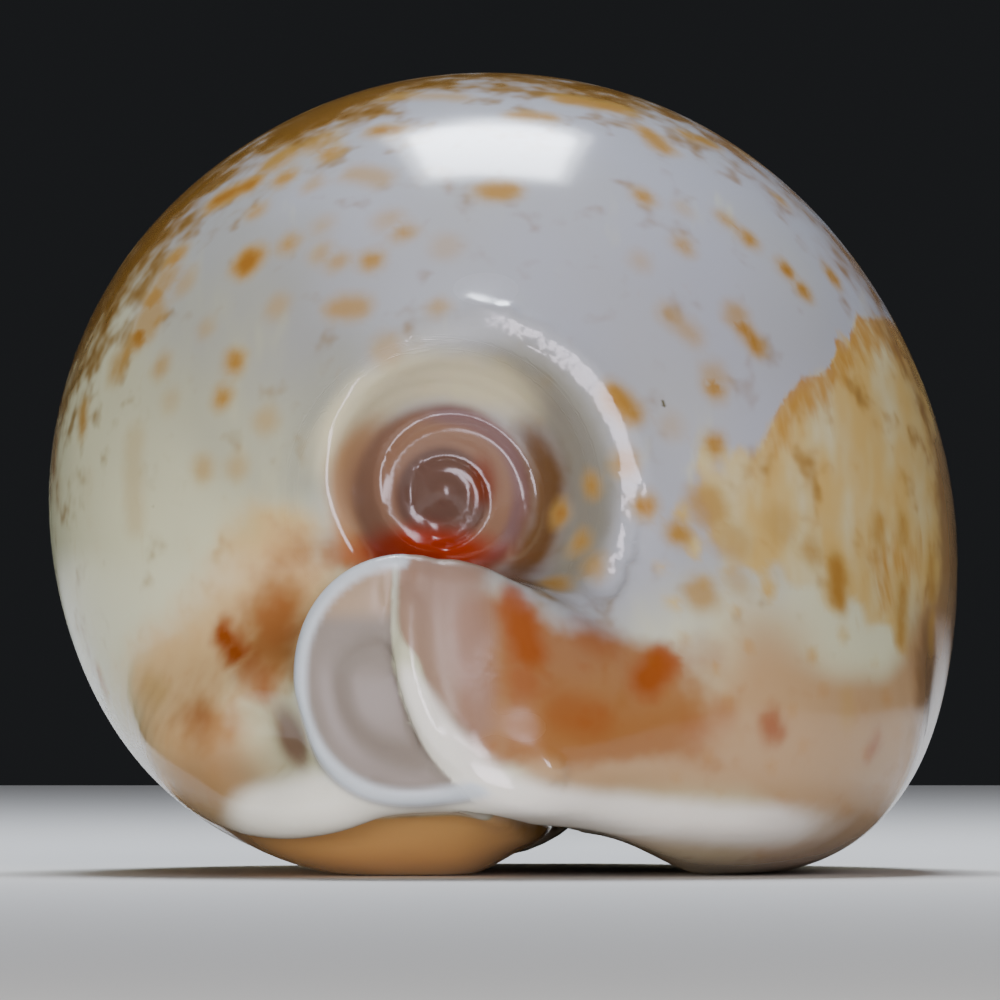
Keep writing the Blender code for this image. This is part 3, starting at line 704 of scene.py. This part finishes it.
def ground_marks(x, y, z):
    """The pale washes under everything else, the tan of the base and margin, the tan of the right side,
    and painted shade: grey over the upper left, darker tan round the silhouettes, and darker tan low on
    the left under the foot.
    """
    fore = fore_part(y)
    left = ease(-0.75 * x - 0.65 * (z - 24.0), -6, 22)
    right = ease(0.5 * x - (z - 16.0), -4, 16)
    yellow = bell(x, -14.2, 3.4) * bell(z, 21.5, 2.2) + 0.5 * bell(x, -19, 4.5) * bell(z, 13.5, 4)
    # Painted shade: a grey wash over the upper left, where less light falls.
    dusk = bell(x, -16.5, 8.5) * bell(z, 35, 11.5) + bell(x, -13, 4) * bell(z, 28.5, 4.5)
    # The edge mark: darker tan painted shade round the right and left silhouettes, where the surface
    # turns from the light; the line with y adds the shell's own tan on the right side further back.
    edge = ease(x, 23.8, 28) * fade(z, 14, 20) + ease(x, 27.2, 28.8) * bell(z, 22, 8)
    edge = edge + 0.6 * ease(x, 5, 14) * ease(y, -26, -12)
    edge = edge + 0.6 * ease(-x, 26.4, 28.4) * bell(z, 27, 7)
    blush = bell(z, 8, 4) * ease(x, -1, 3) + ease(x, 15, 22) * fade(z, 7, 15)
    blush = blush + ease(x, 23.5, 27.5) * fade(z, 13, 20)
    blush = blush + 0.6 * ease(x, 4, 8) * fade(z, 2.2, 5)
    blush = blush + 0.9 * bell(x, -18.5, 5) * bell(z, 7, 3.6)
    blush = blush + 0.6 * bell(x, 16.5, 4) * bell(z, 14, 4)
    margin = 0.4 * (1.0 - fore) * fade(z, 4, 16)
    return {
        "cream": fore * np.maximum(left, right) + 0.8 * (1.0 - fore),
        "yellow": fore * np.clip(yellow, 0.0, 1.0),
        "dusk": fore * np.clip(dusk, 0.0, 1.0),
        "edge": np.clip(edge, 0.0, 1.0) * fade(y, -7, 8),
        "blush": fore * np.clip(blush, 0.0, 1.0) + margin,
        # Painted shade: darker tan low on the left, behind and under the foot.
        "hollow": bell(x, -19, 4.5) * bell(z, 3, 4.5),
    }


def patch_marks(x, y, z):
    """The ochre patch on the right, with its thick ragged upper rim."""
    fore = fore_part(y)
    over = above(x, z, PATCH_EDGE)
    gap = np.maximum(over, 4.0 * (9.0 - x)) + 6.0 * (1.0 - fore)
    cover = blotchy(ease(above(x, z, PATCH_FOOT), -2, 3) * ease(x, 8, 17), x, z)
    rim = np.where(over > -0.6, 1.0, bell(over, -0.6, 2.6))
    rim = rim * fade(over, 0, 0.5) * ease(x, 13, 18.5)
    return {
        "patch": gap,
        "patch_cover": cover,
        "patch_rim": np.maximum(rim, 0.75 * bell(x, 24.5, 2.6) * bell(z, 19.8, 3.2)) * fore,
        "patch_mottle": fade(gap, -1, 1) * cover * fore,
    }


def back_marks(x, y, z):
    """The brown of the back, which shows as a broken fringe round the upper left."""
    fore = fore_part(y)
    out = beyond(x, z, BACK_EDGE)
    rim = np.clip(0.72 + 0.44 * out - 0.3 * bell(x, -3, 6), 0.0, 1.4)
    rim = rim * (1.0 - 0.55 * ease(x, 9, 22)) * ease(z, 24, 31)
    behind = ease(y, -10, -2) * ease(z, 8, 18) * (0.75 + 0.35 * ease(z, 26, 40))
    return {
        "fringe": fore * ease(out, -7, -0.5) * fade(x, 4, 18) * ease(z, 22, 30),
        "back": np.maximum(rim * fore, behind),
    }


def rust_marks(x, y, z):
    """The rust-red stains either side of the canal, and the glow round the left one."""
    fore = fore_part(y)
    rust = 0.8 * bell(x, -14.2, 3) * bell(z, 15.4, 4.6) + 0.7 * bell(z, 20.6, 1.4) * bell(x, -9.5, 3.5)
    rust = rust + 0.55 * bell(x, -18.6, 2.6) * bell(z, 9.4, 3)
    across = ease(x, -4, -1.5) * fade(x, 8.5, 17)
    low = 7.2 + 0.4 * np.sin(0.9 * x)
    high = 18.4 - 0.45 * np.clip(x + 1.0, 0.0, 4.0) - 0.2 * np.clip(x - 3.0, 0.0, 20.0)
    rust = rust + across * ease(z, low - 1.4, low + 1.6) * fade(z, high - 2.4, high + 1.2)
    glow = bell(x, -14, 4.6) * bell(z, 17, 5.4) + bell(x, -20.5, 3.6) * bell(z, 11.5, 4.5)
    return {"rust": np.clip(rust, 0.0, 1.0) * fore, "glow": np.clip(glow, 0.0, 1.0) * fore}


def lip_marks(x, y, z):
    """The white lips, the stub with its tongue, rim and spoon, the tan sole under them, and painted
    shade in the dent beside the stub.
    """
    side = lip_side(x, y, z)
    stub = head_sides(x, y, z)
    front = ease(-y, 24, 28)
    tip = ease(-y, 38, 40)
    narrowing = ease(z, 8, 14)
    lip = bell(side, 0.3 - 0.5 * narrowing, 1.5 - 0.65 * narrowing) * front
    lip = lip * fade(z, 11.5, 15) * (1.0 - 0.7 * ease(x, 16, 22))
    spoon = ease(-y, 39.5, 41.2) * fade(stub, -0.4, 0.9) * ease(-side, 0.7, 1.1)
    tongue = tip * ease(side + 1.2 * ease(z, 13, 16), 0.2, 1.2)
    begins = 37.8 - 0.62 * np.clip(-11.0 - x, 0.0, 20.0)
    foot = fade(above(x, z, FOOT_TOP), -1, 2) * ease(-y - begins, -0.4, 0.8)
    sole = fade(z, 5, 7.2) * fade(-y - begins, -0.6, 0.4) * fade(x, 2, 6)
    matt = tip * bell(x, 1.4, 1.6) * bell(z, 9.5, 1.1)
    inside = np.where(np.abs(envelope(x, y, z)) < 1.2, 0.0, 1.0)
    return {
        "lip": lip,
        "callus": np.clip(foot * ease(-side, -0.6, 0.3) * ease(x, -19.5, -14.5), 0.0, 1.0),
        "spoon": spoon,
        "spoon_top": spoon * ease(z, 15, 18) * fade(-stub, 3.6, 5.4),
        "tongue": tongue * fade(x, -2.2, 0.9) * ease(z, 7, 10),
        "rim": tip * bell(stub, -0.35, 0.62) * ease(-side, -0.6, 0.3),
        "sole": sole * (0.3 + 0.7 * fade(y, -16, 24)),
        # Painted shade: darker brown in the dent beside the stub's rim.
        "dimple": bell(stub, 1.3, 1.4) * bell(z, 8.8, 2.6) * ease(-x, 11, 12.5) * ease(-y, 28, 32),
        "inner": inside * fade(-y, 39, 41),
        "matt": matt + ease(-y, 26, 30) * bell(x, -1, 2.4) * bell(z, 36.9, 1.2),
    }


def washes(points):
    """How far each wash of pigment covers each point: from 0 to 1, or a gap in mm."""
    marks = {}
    for part in (pit_marks, ground_marks, patch_marks, back_marks, rust_marks, lip_marks):
        marks.update(part(*points.T))
    return marks


def linear(code):
    """A colour from its sRGB hex code."""
    parts = [int(code[i : i + 2], 16) / 255 for i in (1, 3, 5)]
    return tuple(c / 12.92 if c <= 0.04045 else ((c + 0.055) / 1.055) ** 2.4 for c in parts) + (1.0,)


def add(tree, kind, inputs=None, **settings):
    """A node with its settings. An input is a plain value, a socket, or a node's first output."""
    made = tree.nodes.new(kind)
    for name, value in settings.items():
        setattr(made, name, value)
    for name, value in (inputs or {}).items():
        if isinstance(value, bpy.types.Node):
            value = value.outputs[0]
        if isinstance(value, bpy.types.NodeSocket):
            tree.links.new(value, made.inputs[name])
        else:
            made.inputs[name].default_value = value
    return made


def placed(name, data):
    """A new object in the scene."""
    made = bpy.data.objects.new(name, data)
    bpy.context.scene.collection.objects.link(made)
    return made


def new_material(name):
    """An empty material and its tree of nodes."""
    material = bpy.data.materials.new(name)
    material.use_nodes = True
    material.node_tree.nodes.clear()
    return material, material.node_tree


# Colours of the enamel and its commonest pigments, the teeth and the board under the shell
BLUE_WHITE = "#a6aab8"
GREY_WHITE = "#a6a8a8"
CREAM = "#ccccaa"
OCHRE = "#ac7c30"
BACK_PALE = "#866834"
RUST = "#8c4414"
TOOTH = "#d8ccb0"
BOARD = "#d2d2d0"

# Clouds that break up the washes and the gloss: size of the lumps in mm, detail,
# stretch along x, y and z, and shift
CLOUDS = {
    "wide": (9.0, 1.0, (1.0, 1.0, 1.0), 0.0),
    "lumps": (2.6, 2.0, (1.0, 1.0, 1.0), 7.0),
    "blots": (1.3, 1.0, (1.0, 1.0, 1.0), 3.0),
    "growth": (2.2, 2.0, (1.0, 0.25, 0.35), 5.0),
    "streaks": (1.2, 2.0, (1.0, 1.0, 0.3), 9.0),
    "ripple": (0.8, 1.0, (1.0, 1.0, 1.0), 4.0),
}

# Washes from the bottom up: colour, mark, the cloud that breaks its edge and how much,
# the mark's value where the wash starts and where it is full, then its cover there
WASHES = (
    (CREAM, "cream", "wide", 0.6, 0.1, 0.9, 1.0),
    (CREAM, "cream", "growth", 2.4, 0.3, 1.2, 0.6),
    ("#c0b088", "cream", "growth", 2.6, 1.0, 2.0, 0.4),
    # grey painted shade over the upper left
    ("#8e8e80", "dusk", "wide", 0.6, 0.1, 0.9, 0.55),
    ("#c0a060", "yellow", "lumps", 0.5, 0.1, 0.9, 0.75),
    ("#c2a464", "patch", "streaks", 2.4, 0.6, -0.9, "patch_cover"),
    (CREAM, "patch_mottle", "growth", 3.4, 0.4, 2.0, 0.75),
    (OCHRE, "patch_mottle", "lumps", 3.4, 0.9, 2.3, 0.6),
    (OCHRE, "patch_rim", "streaks", 1.8, 0.3, 1.2, 0.85),
    (BACK_PALE, "fringe", "lumps", 3.0, 0.9, 1.7, 0.6),
    (BACK_PALE, "back", "lumps", 2.6, 0.15, 1.05, 0.9),
    ("#6e4c16", "back", "lumps", 2.2, 0.75, 1.35, 0.9),
    ("#a88058", "blush", "wide", 0.5, 0.1, 0.9, 0.85),
    # darker tan: painted shade round the silhouettes, and the tan of the right side
    ("#8a6a48", "edge", "lumps", 0.9, 0.28, 0.95, 0.85),
    ("#d2aa74", "glow", "lumps", 0.5, 0.1, 0.8, 0.8),
    ("#905c2c", "rust", "lumps", 0.7, 0.1, 0.8, 0.9),
    (RUST, "rust", "blots", 1.8, 0.95, 1.7, 0.35),
    (RUST, "rust_gap", "blots", 0.9, 1.05, -0.6, "rust_tone"),
    ("#e8b46c", "sole", "wide", 0.3, 0.1, 0.9, 1.0),
    # darker tan painted shade low on the left, under the foot
    ("#8a6840", "hollow", "wide", 0.3, 0.1, 0.9, 0.8),
    ("#767262", "pit_slope", "lumps", 0.3, 0.1, 0.9, 0.85),
    ("#d0c8a4", "pit_cream", "lumps", 0.3, 0.1, 0.9, 0.85),
    ("#a87c54", "pit_left", "lumps", 0.3, 0.1, 0.9, 0.85),
    ("#806250", "pit", "lumps", 0.2, 0.05, 0.9, 1.0),
    ("#56403a", "pit_core", "lumps", 0.3, 0.1, 0.9, 0.85),
    ("#6e565a", "pit_ridge", "lumps", 0.3, 0.1, 0.9, 0.8),
    ("#6a2c14", "pit_hot", "lumps", 0.3, 0.1, 0.9, 0.8),
    # dark brown painted shade in the umbilicus's valley
    ("#5c3a00", "pit_valley", "lumps", 0.4, 0.05, 0.95, 0.93),
    # deep red on the pit wall above the stub: red pigment darkened by painted shade
    ("#8a2400", "ember", "lumps", 0.3, 0.15, 0.85, 0.95),
    ("#ac8a48", "spot_gap", "blots", 0.6, 1.15, -0.5, "spot_pale"),
    ("#926022", "spot_gap", "blots", 0.6, 0.55, -0.7, "spot_tone"),
    ("#4a4410", "dot_gap", "blots", 0.1, 0.18, -0.05, "dot_tone"),
    # darker brown painted shade in the dent beside the stub
    ("#786250", "dimple", "wide", 0.2, 0.1, 0.9, 1.0),
    ("#eceade", "callus", "wide", 0.3, 0.1, 0.9, 1.0),
    ("#8e6e5c", "tongue", "lumps", 0.7, 0.1, 0.9, 0.9),
    ("#f0ede6", "lip", "lumps", 0.2, 0.1, 0.8, 0.9),
    ("#867c74", "spoon", "wide", 0.1, 0.1, 0.9, 1.0),
    ("#b09478", "spoon_top", "wide", 0.2, 0.1, 0.9, 0.7),
    ("#ccd6e0", "rim", "wide", 0.1, 0.1, 0.9, 0.9),
    ("#c0ae90", "inner", "wide", 0.1, 0.2, 0.8, 1.0),
)
# The marks that the mesh carries: those of the washes, their covers and the finish
COVERS = {row[6] for row in WASHES if isinstance(row[6], str)}
MARKS = sorted({row[1] for row in WASHES} | COVERS | {"worn", "thread", "matt"})

# Roughness of the polish, then the marks that dull it and by how much
POLISH = 0.13
DULLER = (("spoon", 0.26), ("tongue", 0.26), ("pit", 0.06), ("matt", 0.3))
# Heights in mm of the broad unevenness, the ripple of worn places and the threads round
# the spire, then the threads' spacing
UNEVEN_HEIGHT = 0.14
RIPPLE_HEIGHT = 0.035
THREAD_HEIGHT = 0.010
THREAD_SPACING = 0.9
PORCELAIN_IOR = 1.53


def enamel_material():
    """Shell enamel: aragonite laid down by the mantle, glassy, with pigment just under the gloss."""
    material, tree = new_material("shell_enamel")
    place = add(tree, "ShaderNodeTexCoord").outputs["Object"]
    scale = (1.0 / MM, 1.0 / MM, 1.0 / MM)
    mm = add(tree, "ShaderNodeMapping", {"Vector": place, "Scale": scale})
    clouds = {}
    for name, (size, detail, stretch, shift) in CLOUDS.items():
        shift = (shift, shift, shift)
        where = add(tree, "ShaderNodeMapping", {"Vector": mm, "Scale": stretch, "Location": shift})
        inputs = {"Vector": where, "Scale": 1.0 / size, "Detail": detail}
        clouds[name] = add(tree, "ShaderNodeTexNoise", inputs)
    marks = {}
    for name in MARKS:
        marks[name] = add(tree, "ShaderNodeAttribute", attribute_name=name).outputs["Fac"]

    inputs = {0: clouds["wide"], 6: linear(BLUE_WHITE), 7: linear(GREY_WHITE)}
    colour = add(tree, "ShaderNodeMix", inputs, data_type="RGBA").outputs[2]
    for code, mark, cloud, ragged, start, full, cover in WASHES:
        inputs = {0: clouds[cloud], 1: ragged, 2: marks[mark]}
        moved = add(tree, "ShaderNodeMath", inputs, operation="MULTIPLY_ADD")
        laid = add(tree, "ShaderNodeMapRange", {
            "Value": moved, "From Min": start + ragged / 2, "From Max": full + ragged / 2,
            "To Max": marks.get(cover, cover),
        }, interpolation_type="SMOOTHSTEP")
        inputs = {0: laid, 6: colour, 7: linear(code)}
        colour = add(tree, "ShaderNodeMix", inputs, data_type="RGBA").outputs[2]

    inputs = {0: marks["thread"], 1: 2 * math.pi / THREAD_SPACING}
    turn = add(tree, "ShaderNodeMath", inputs, operation="MULTIPLY")
    wave = add(tree, "ShaderNodeMath", {0: turn}, operation="SINE")
    thread = add(tree, "ShaderNodeMath", {0: wave, 1: clouds["wide"]}, operation="MULTIPLY")
    worn = add(tree, "ShaderNodeMath", {0: marks["worn"], 1: RIPPLE_HEIGHT}, operation="MULTIPLY")
    height = 0.0
    for wave, share in (
        (clouds["wide"], UNEVEN_HEIGHT), (clouds["ripple"], worn), (thread, THREAD_HEIGHT),
    ):
        inputs = {0: wave, 1: share, 2: height}
        height = add(tree, "ShaderNodeMath", inputs, operation="MULTIPLY_ADD")
    height = add(tree, "ShaderNodeMath", {0: height, 1: MM}, operation="MULTIPLY")
    bump = add(tree, "ShaderNodeBump", {"Height": height, "Strength": 1.0, "Distance": 1.0})

    rough = POLISH
    for mark, more in DULLER:
        inputs = {0: marks[mark], 1: more, 2: rough}
        rough = add(tree, "ShaderNodeMath", inputs, operation="MULTIPLY_ADD")
    shader = add(tree, "ShaderNodeBsdfPrincipled", {
        "Base Color": colour,
        "Roughness": rough,
        "IOR": PORCELAIN_IOR,
        "Subsurface Weight": 0.06,
        "Subsurface Radius": (1.0, 0.7, 0.5),
        "Subsurface Scale": 1.5 * MM,
        "Normal": bump,
    })
    add(tree, "ShaderNodeOutputMaterial", {"Surface": shader})
    return material


def tooth_material():
    """The same porcelain where the lips fold into teeth: plain cream, with a softer shine."""
    material, tree = new_material("tooth_enamel")
    inputs = {"Base Color": linear(TOOTH), "Roughness": 0.2, "IOR": PORCELAIN_IOR}
    shader = add(tree, "ShaderNodeBsdfPrincipled", inputs)
    add(tree, "ShaderNodeOutputMaterial", {"Surface": shader})
    return material


TEETH_FROM_Y = -8.0
TEETH_TO_Y = 36.0
TEETH_INSET = 1.1  # from the slit's edge to the middle of a tooth


def lip_line(toward):
    """Points along one lip of the aperture on the base, and which way the surface faces there."""
    path = spline(SLIT, 60)
    path = path[(path[:, 1] > TEETH_FROM_Y) & (path[:, 1] < TEETH_TO_Y)]
    x = path[:, 0] + toward * (path[:, 2] + TEETH_INSET) + 0.15
    y = path[:, 1]
    z = np.full(len(x), -1.0)
    for _ in range(90):
        z = z + np.clip(shell_field(x, y, z), 0.0, 0.4) * 0.7
    points = np.stack([x, y, z], axis=1)
    slope = slope_of(shell_field, points, 0.1)
    return points, slope / np.linalg.norm(slope, axis=1)[:, None]


def teeth_tree(material):
    """Rows of short ridges: one low-sided rounded ridge stood at even steps along each lip."""
    tree = bpy.data.node_groups.new("lip_teeth", "GeometryNodeTree")
    for way in ("INPUT", "OUTPUT"):
        tree.interface.new_socket("Geometry", in_out=way, socket_type="NodeSocketGeometry")
    for name, kind, value in (
        ("Spacing", "Float", 2.5 * MM), ("Length", "Float", 2.1 * MM), ("Width", "Float", 0.78 * MM),
        ("Height", "Float", 0.48 * MM), ("Seed", "Int", 5),
    ):
        socket = tree.interface.new_socket(name, in_out="INPUT", socket_type="NodeSocket" + kind)
        socket.default_value = value
    given = add(tree, "NodeGroupInput").outputs
    curve = add(tree, "GeometryNodeMeshToCurve", {"Mesh": given["Geometry"]})
    inputs = {"Curve": curve, "Length": given["Spacing"]}
    steps = add(tree, "GeometryNodeResampleCurve", inputs, mode="LENGTH")
    ridge = add(tree, "GeometryNodeMeshUVSphere", {"Segments": 10, "Rings": 6, "Radius": 1.0})
    facing = add(tree, "GeometryNodeInputNamedAttribute", {"Name": "facing"}, data_type="FLOAT_VECTOR")
    stood = add(tree, "FunctionNodeAlignRotationToVector", {"Vector": facing}, axis="Z")
    inputs = {"Rotation": stood, "Vector": add(tree, "GeometryNodeInputTangent")}
    turned = add(tree, "FunctionNodeAlignRotationToVector", inputs, axis="Y", pivot_axis="Z")
    inputs = {0: given["Length"], 1: given["Width"], 2: given["Height"]}
    size = add(tree, "ShaderNodeCombineXYZ", inputs)
    inputs = {2: 0.82, 3: 1.12, "Seed": given["Seed"]}
    uneven = add(tree, "FunctionNodeRandomValue", inputs, data_type="FLOAT").outputs[1]
    scale = add(tree, "ShaderNodeVectorMath", {0: size, "Scale": uneven}, operation="SCALE")
    stand = add(tree, "GeometryNodeInstanceOnPoints", {
        "Points": steps, "Instance": ridge, "Rotation": turned, "Scale": scale,
    })
    real = add(tree, "GeometryNodeRealizeInstances", {"Geometry": stand})
    smooth = add(tree, "GeometryNodeSetShadeSmooth", {"Geometry": real})
    inputs = {"Geometry": smooth, "Material": material}
    coloured = add(tree, "GeometryNodeSetMaterial", inputs)
    add(tree, "NodeGroupOutput", {"Geometry": coloured})
    return tree


def teeth(material):
    """Both rows of teeth as one plain mesh."""
    points, facing, edges = [], [], []
    for toward in (-1.0, 1.0):
        line, away = lip_line(toward)
        first = len(points)
        points.extend((line * MM).tolist())
        facing.extend(away.tolist())
        edges.extend((first + i, first + i + 1) for i in range(len(line) - 1))
    mesh = bpy.data.meshes.new("lip_lines")
    mesh.from_pydata(points, edges, [])
    layer = mesh.attributes.new("facing", "FLOAT_VECTOR", "POINT")
    layer.data.foreach_set("vector", np.asarray(facing, np.float32).ravel())
    lines = placed("lip_lines", mesh)
    modifier = lines.modifiers.new("teeth", "NODES")
    modifier.node_group = teeth_tree(material)
    bpy.context.view_layer.update()
    graph = bpy.context.evaluated_depsgraph_get()
    grown = bpy.data.meshes.new_from_object(lines.evaluated_get(graph))
    lines.modifiers.remove(modifier)
    bpy.data.objects.remove(lines)
    return grown


def shell_piece(enamel, tooth):
    """The shell's fine surface with its pigment marks, and the teeth of both lips."""
    points, quads = surface([axis_steps(stops) for stops in GRID])
    marks = washes(points)
    for name, rods in (
        ("spot", np.vstack([rods_on_the_face(FACE_SPOTS, FACE_STREAKS), spots_of_the_back()])),
        ("rust", rods_on_the_face((), RUST_SPOTS)),
        ("dot", rods_on_the_face(PITTED_DOTS, ())),
    ):
        marks[name + "_gap"], marks[name + "_tone"] = nearest_rod(points, rods)
    marks["spot_pale"] = np.clip(1.5 * marks["spot_tone"], 0.0, 1.0)
    marks["spot_tone"] = np.clip(1.5 * marks["spot_tone"] - 0.5, 0.0, 1.0)
    grown = teeth(tooth)
    ridges = np.empty(len(grown.vertices) * 3)
    grown.vertices.foreach_get("co", ridges)
    ridges = ridges.reshape(-1, 3)
    place = points * MM
    middle = (place.min(axis=0) + place.max(axis=0)) / 2
    middle[2] = 0.0
    faces = quads.tolist() + [[len(points) + i for i in face.vertices] for face in grown.polygons]
    mesh = bpy.data.meshes.new("cowrie_shell")
    mesh.from_pydata((np.vstack([place, ridges]) - middle).tolist(), [], faces)
    for name in MARKS:
        layer = mesh.attributes.new(name, "FLOAT", "POINT")
        values = np.zeros(len(mesh.vertices), np.float32)
        values[: len(points)] = marks[name]
        layer.data.foreach_set("value", values)
    mesh.shade_smooth()
    mesh.materials.append(enamel)
    mesh.materials.append(tooth)
    which = np.zeros(len(mesh.polygons), np.int32)
    which[len(quads) :] = 1
    mesh.polygons.foreach_set("material_index", which)
    return placed("cowrie_shell", mesh)


def floor_material():
    """Matt painted board, pale grey: it takes a soft shadow and mirrors nothing."""
    material, tree = new_material("pale_board")
    inputs = {"Base Color": linear(BOARD), "Roughness": 0.9}
    shader = add(tree, "ShaderNodeBsdfPrincipled", inputs)
    add(tree, "ShaderNodeOutputMaterial", {"Surface": shader})
    return material


def studio_floor():
    """A square of board, 1.2 m wide."""
    half = 0.6
    corners = [(-half, -half, 0), (half, -half, 0), (half, half, 0), (-half, half, 0)]
    mesh = bpy.data.meshes.new("floor")
    mesh.from_pydata(corners, [], [(0, 1, 2, 3)])
    mesh.materials.append(floor_material())
    placed("floor", mesh)


LIT_POINT = (0.0, -0.02, 0.025)  # where every softbox points, inside the shell


def soft_light(name, place, size, power, colour, gloss=True):
    """A rectangular softbox turned to the shell; without gloss it fills but isn't mirrored."""
    lamp = bpy.data.lights.new(name, "AREA")
    lamp.shape = "RECTANGLE"
    lamp.size, lamp.size_y = size
    lamp.energy = power
    lamp.color = linear(colour)[:3]
    holder = placed(name, lamp)
    holder.location = place
    aim = Vector(LIT_POINT) - Vector(place)
    holder.rotation_euler = aim.to_track_quat("-Z", "Y").to_euler()
    holder.visible_glossy = gloss


def studio():
    """Grey surroundings and soft light: two softboxes overhead, a window and three fills."""
    world = bpy.data.worlds.new("studio")
    world.use_nodes = True
    background = world.node_tree.nodes["Background"].inputs
    background["Color"].default_value = linear("#8c9096")
    background["Strength"].default_value = 0.05
    bpy.context.scene.world = world
    soft_light("overhead_softbox", (-0.001, 0.16, 0.40), (0.15, 0.15), 2.1, "#eef4ff")
    soft_light("overhead_sky", (-0.003, 0.165, 0.41), (0.19, 0.19), 0.8, "#eef4ff")
    soft_light("window", (0.32, -2.28, 0.26), (0.64, 0.81), 25.0, "#f3e6f6")
    soft_light("left_fill", (-1.35, -1.7, 0.07), (2.0, 0.3), 17.0, "#fffdf8", gloss=False)
    soft_light("right_fill", (0.5, -2.0, 0.75), (1.4, 0.6), 13.0, "#fffdf8", gloss=False)
    soft_light("low_fill", (-0.1, -0.8, 0.085), (1.0, 0.07), 2.9, "#fffaf0", gloss=False)


def camera():
    """A long lens square to the spire end, far enough away to be almost without perspective."""
    distance = 2.0
    view_width = 0.0638
    sensor = 36.0
    lens = bpy.data.cameras.new("camera")
    lens.sensor_width = sensor
    lens.lens = sensor * distance / view_width
    holder = placed("camera", lens)
    holder.location = (-0.0002, -distance, 0.02367)
    holder.rotation_euler = (math.radians(90.0), 0.0, 0.0)
    bpy.context.scene.camera = holder


camera()
studio()
studio_floor()
shell = shell_piece(enamel_material(), tooth_material())
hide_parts("shell")
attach(shell, "root")
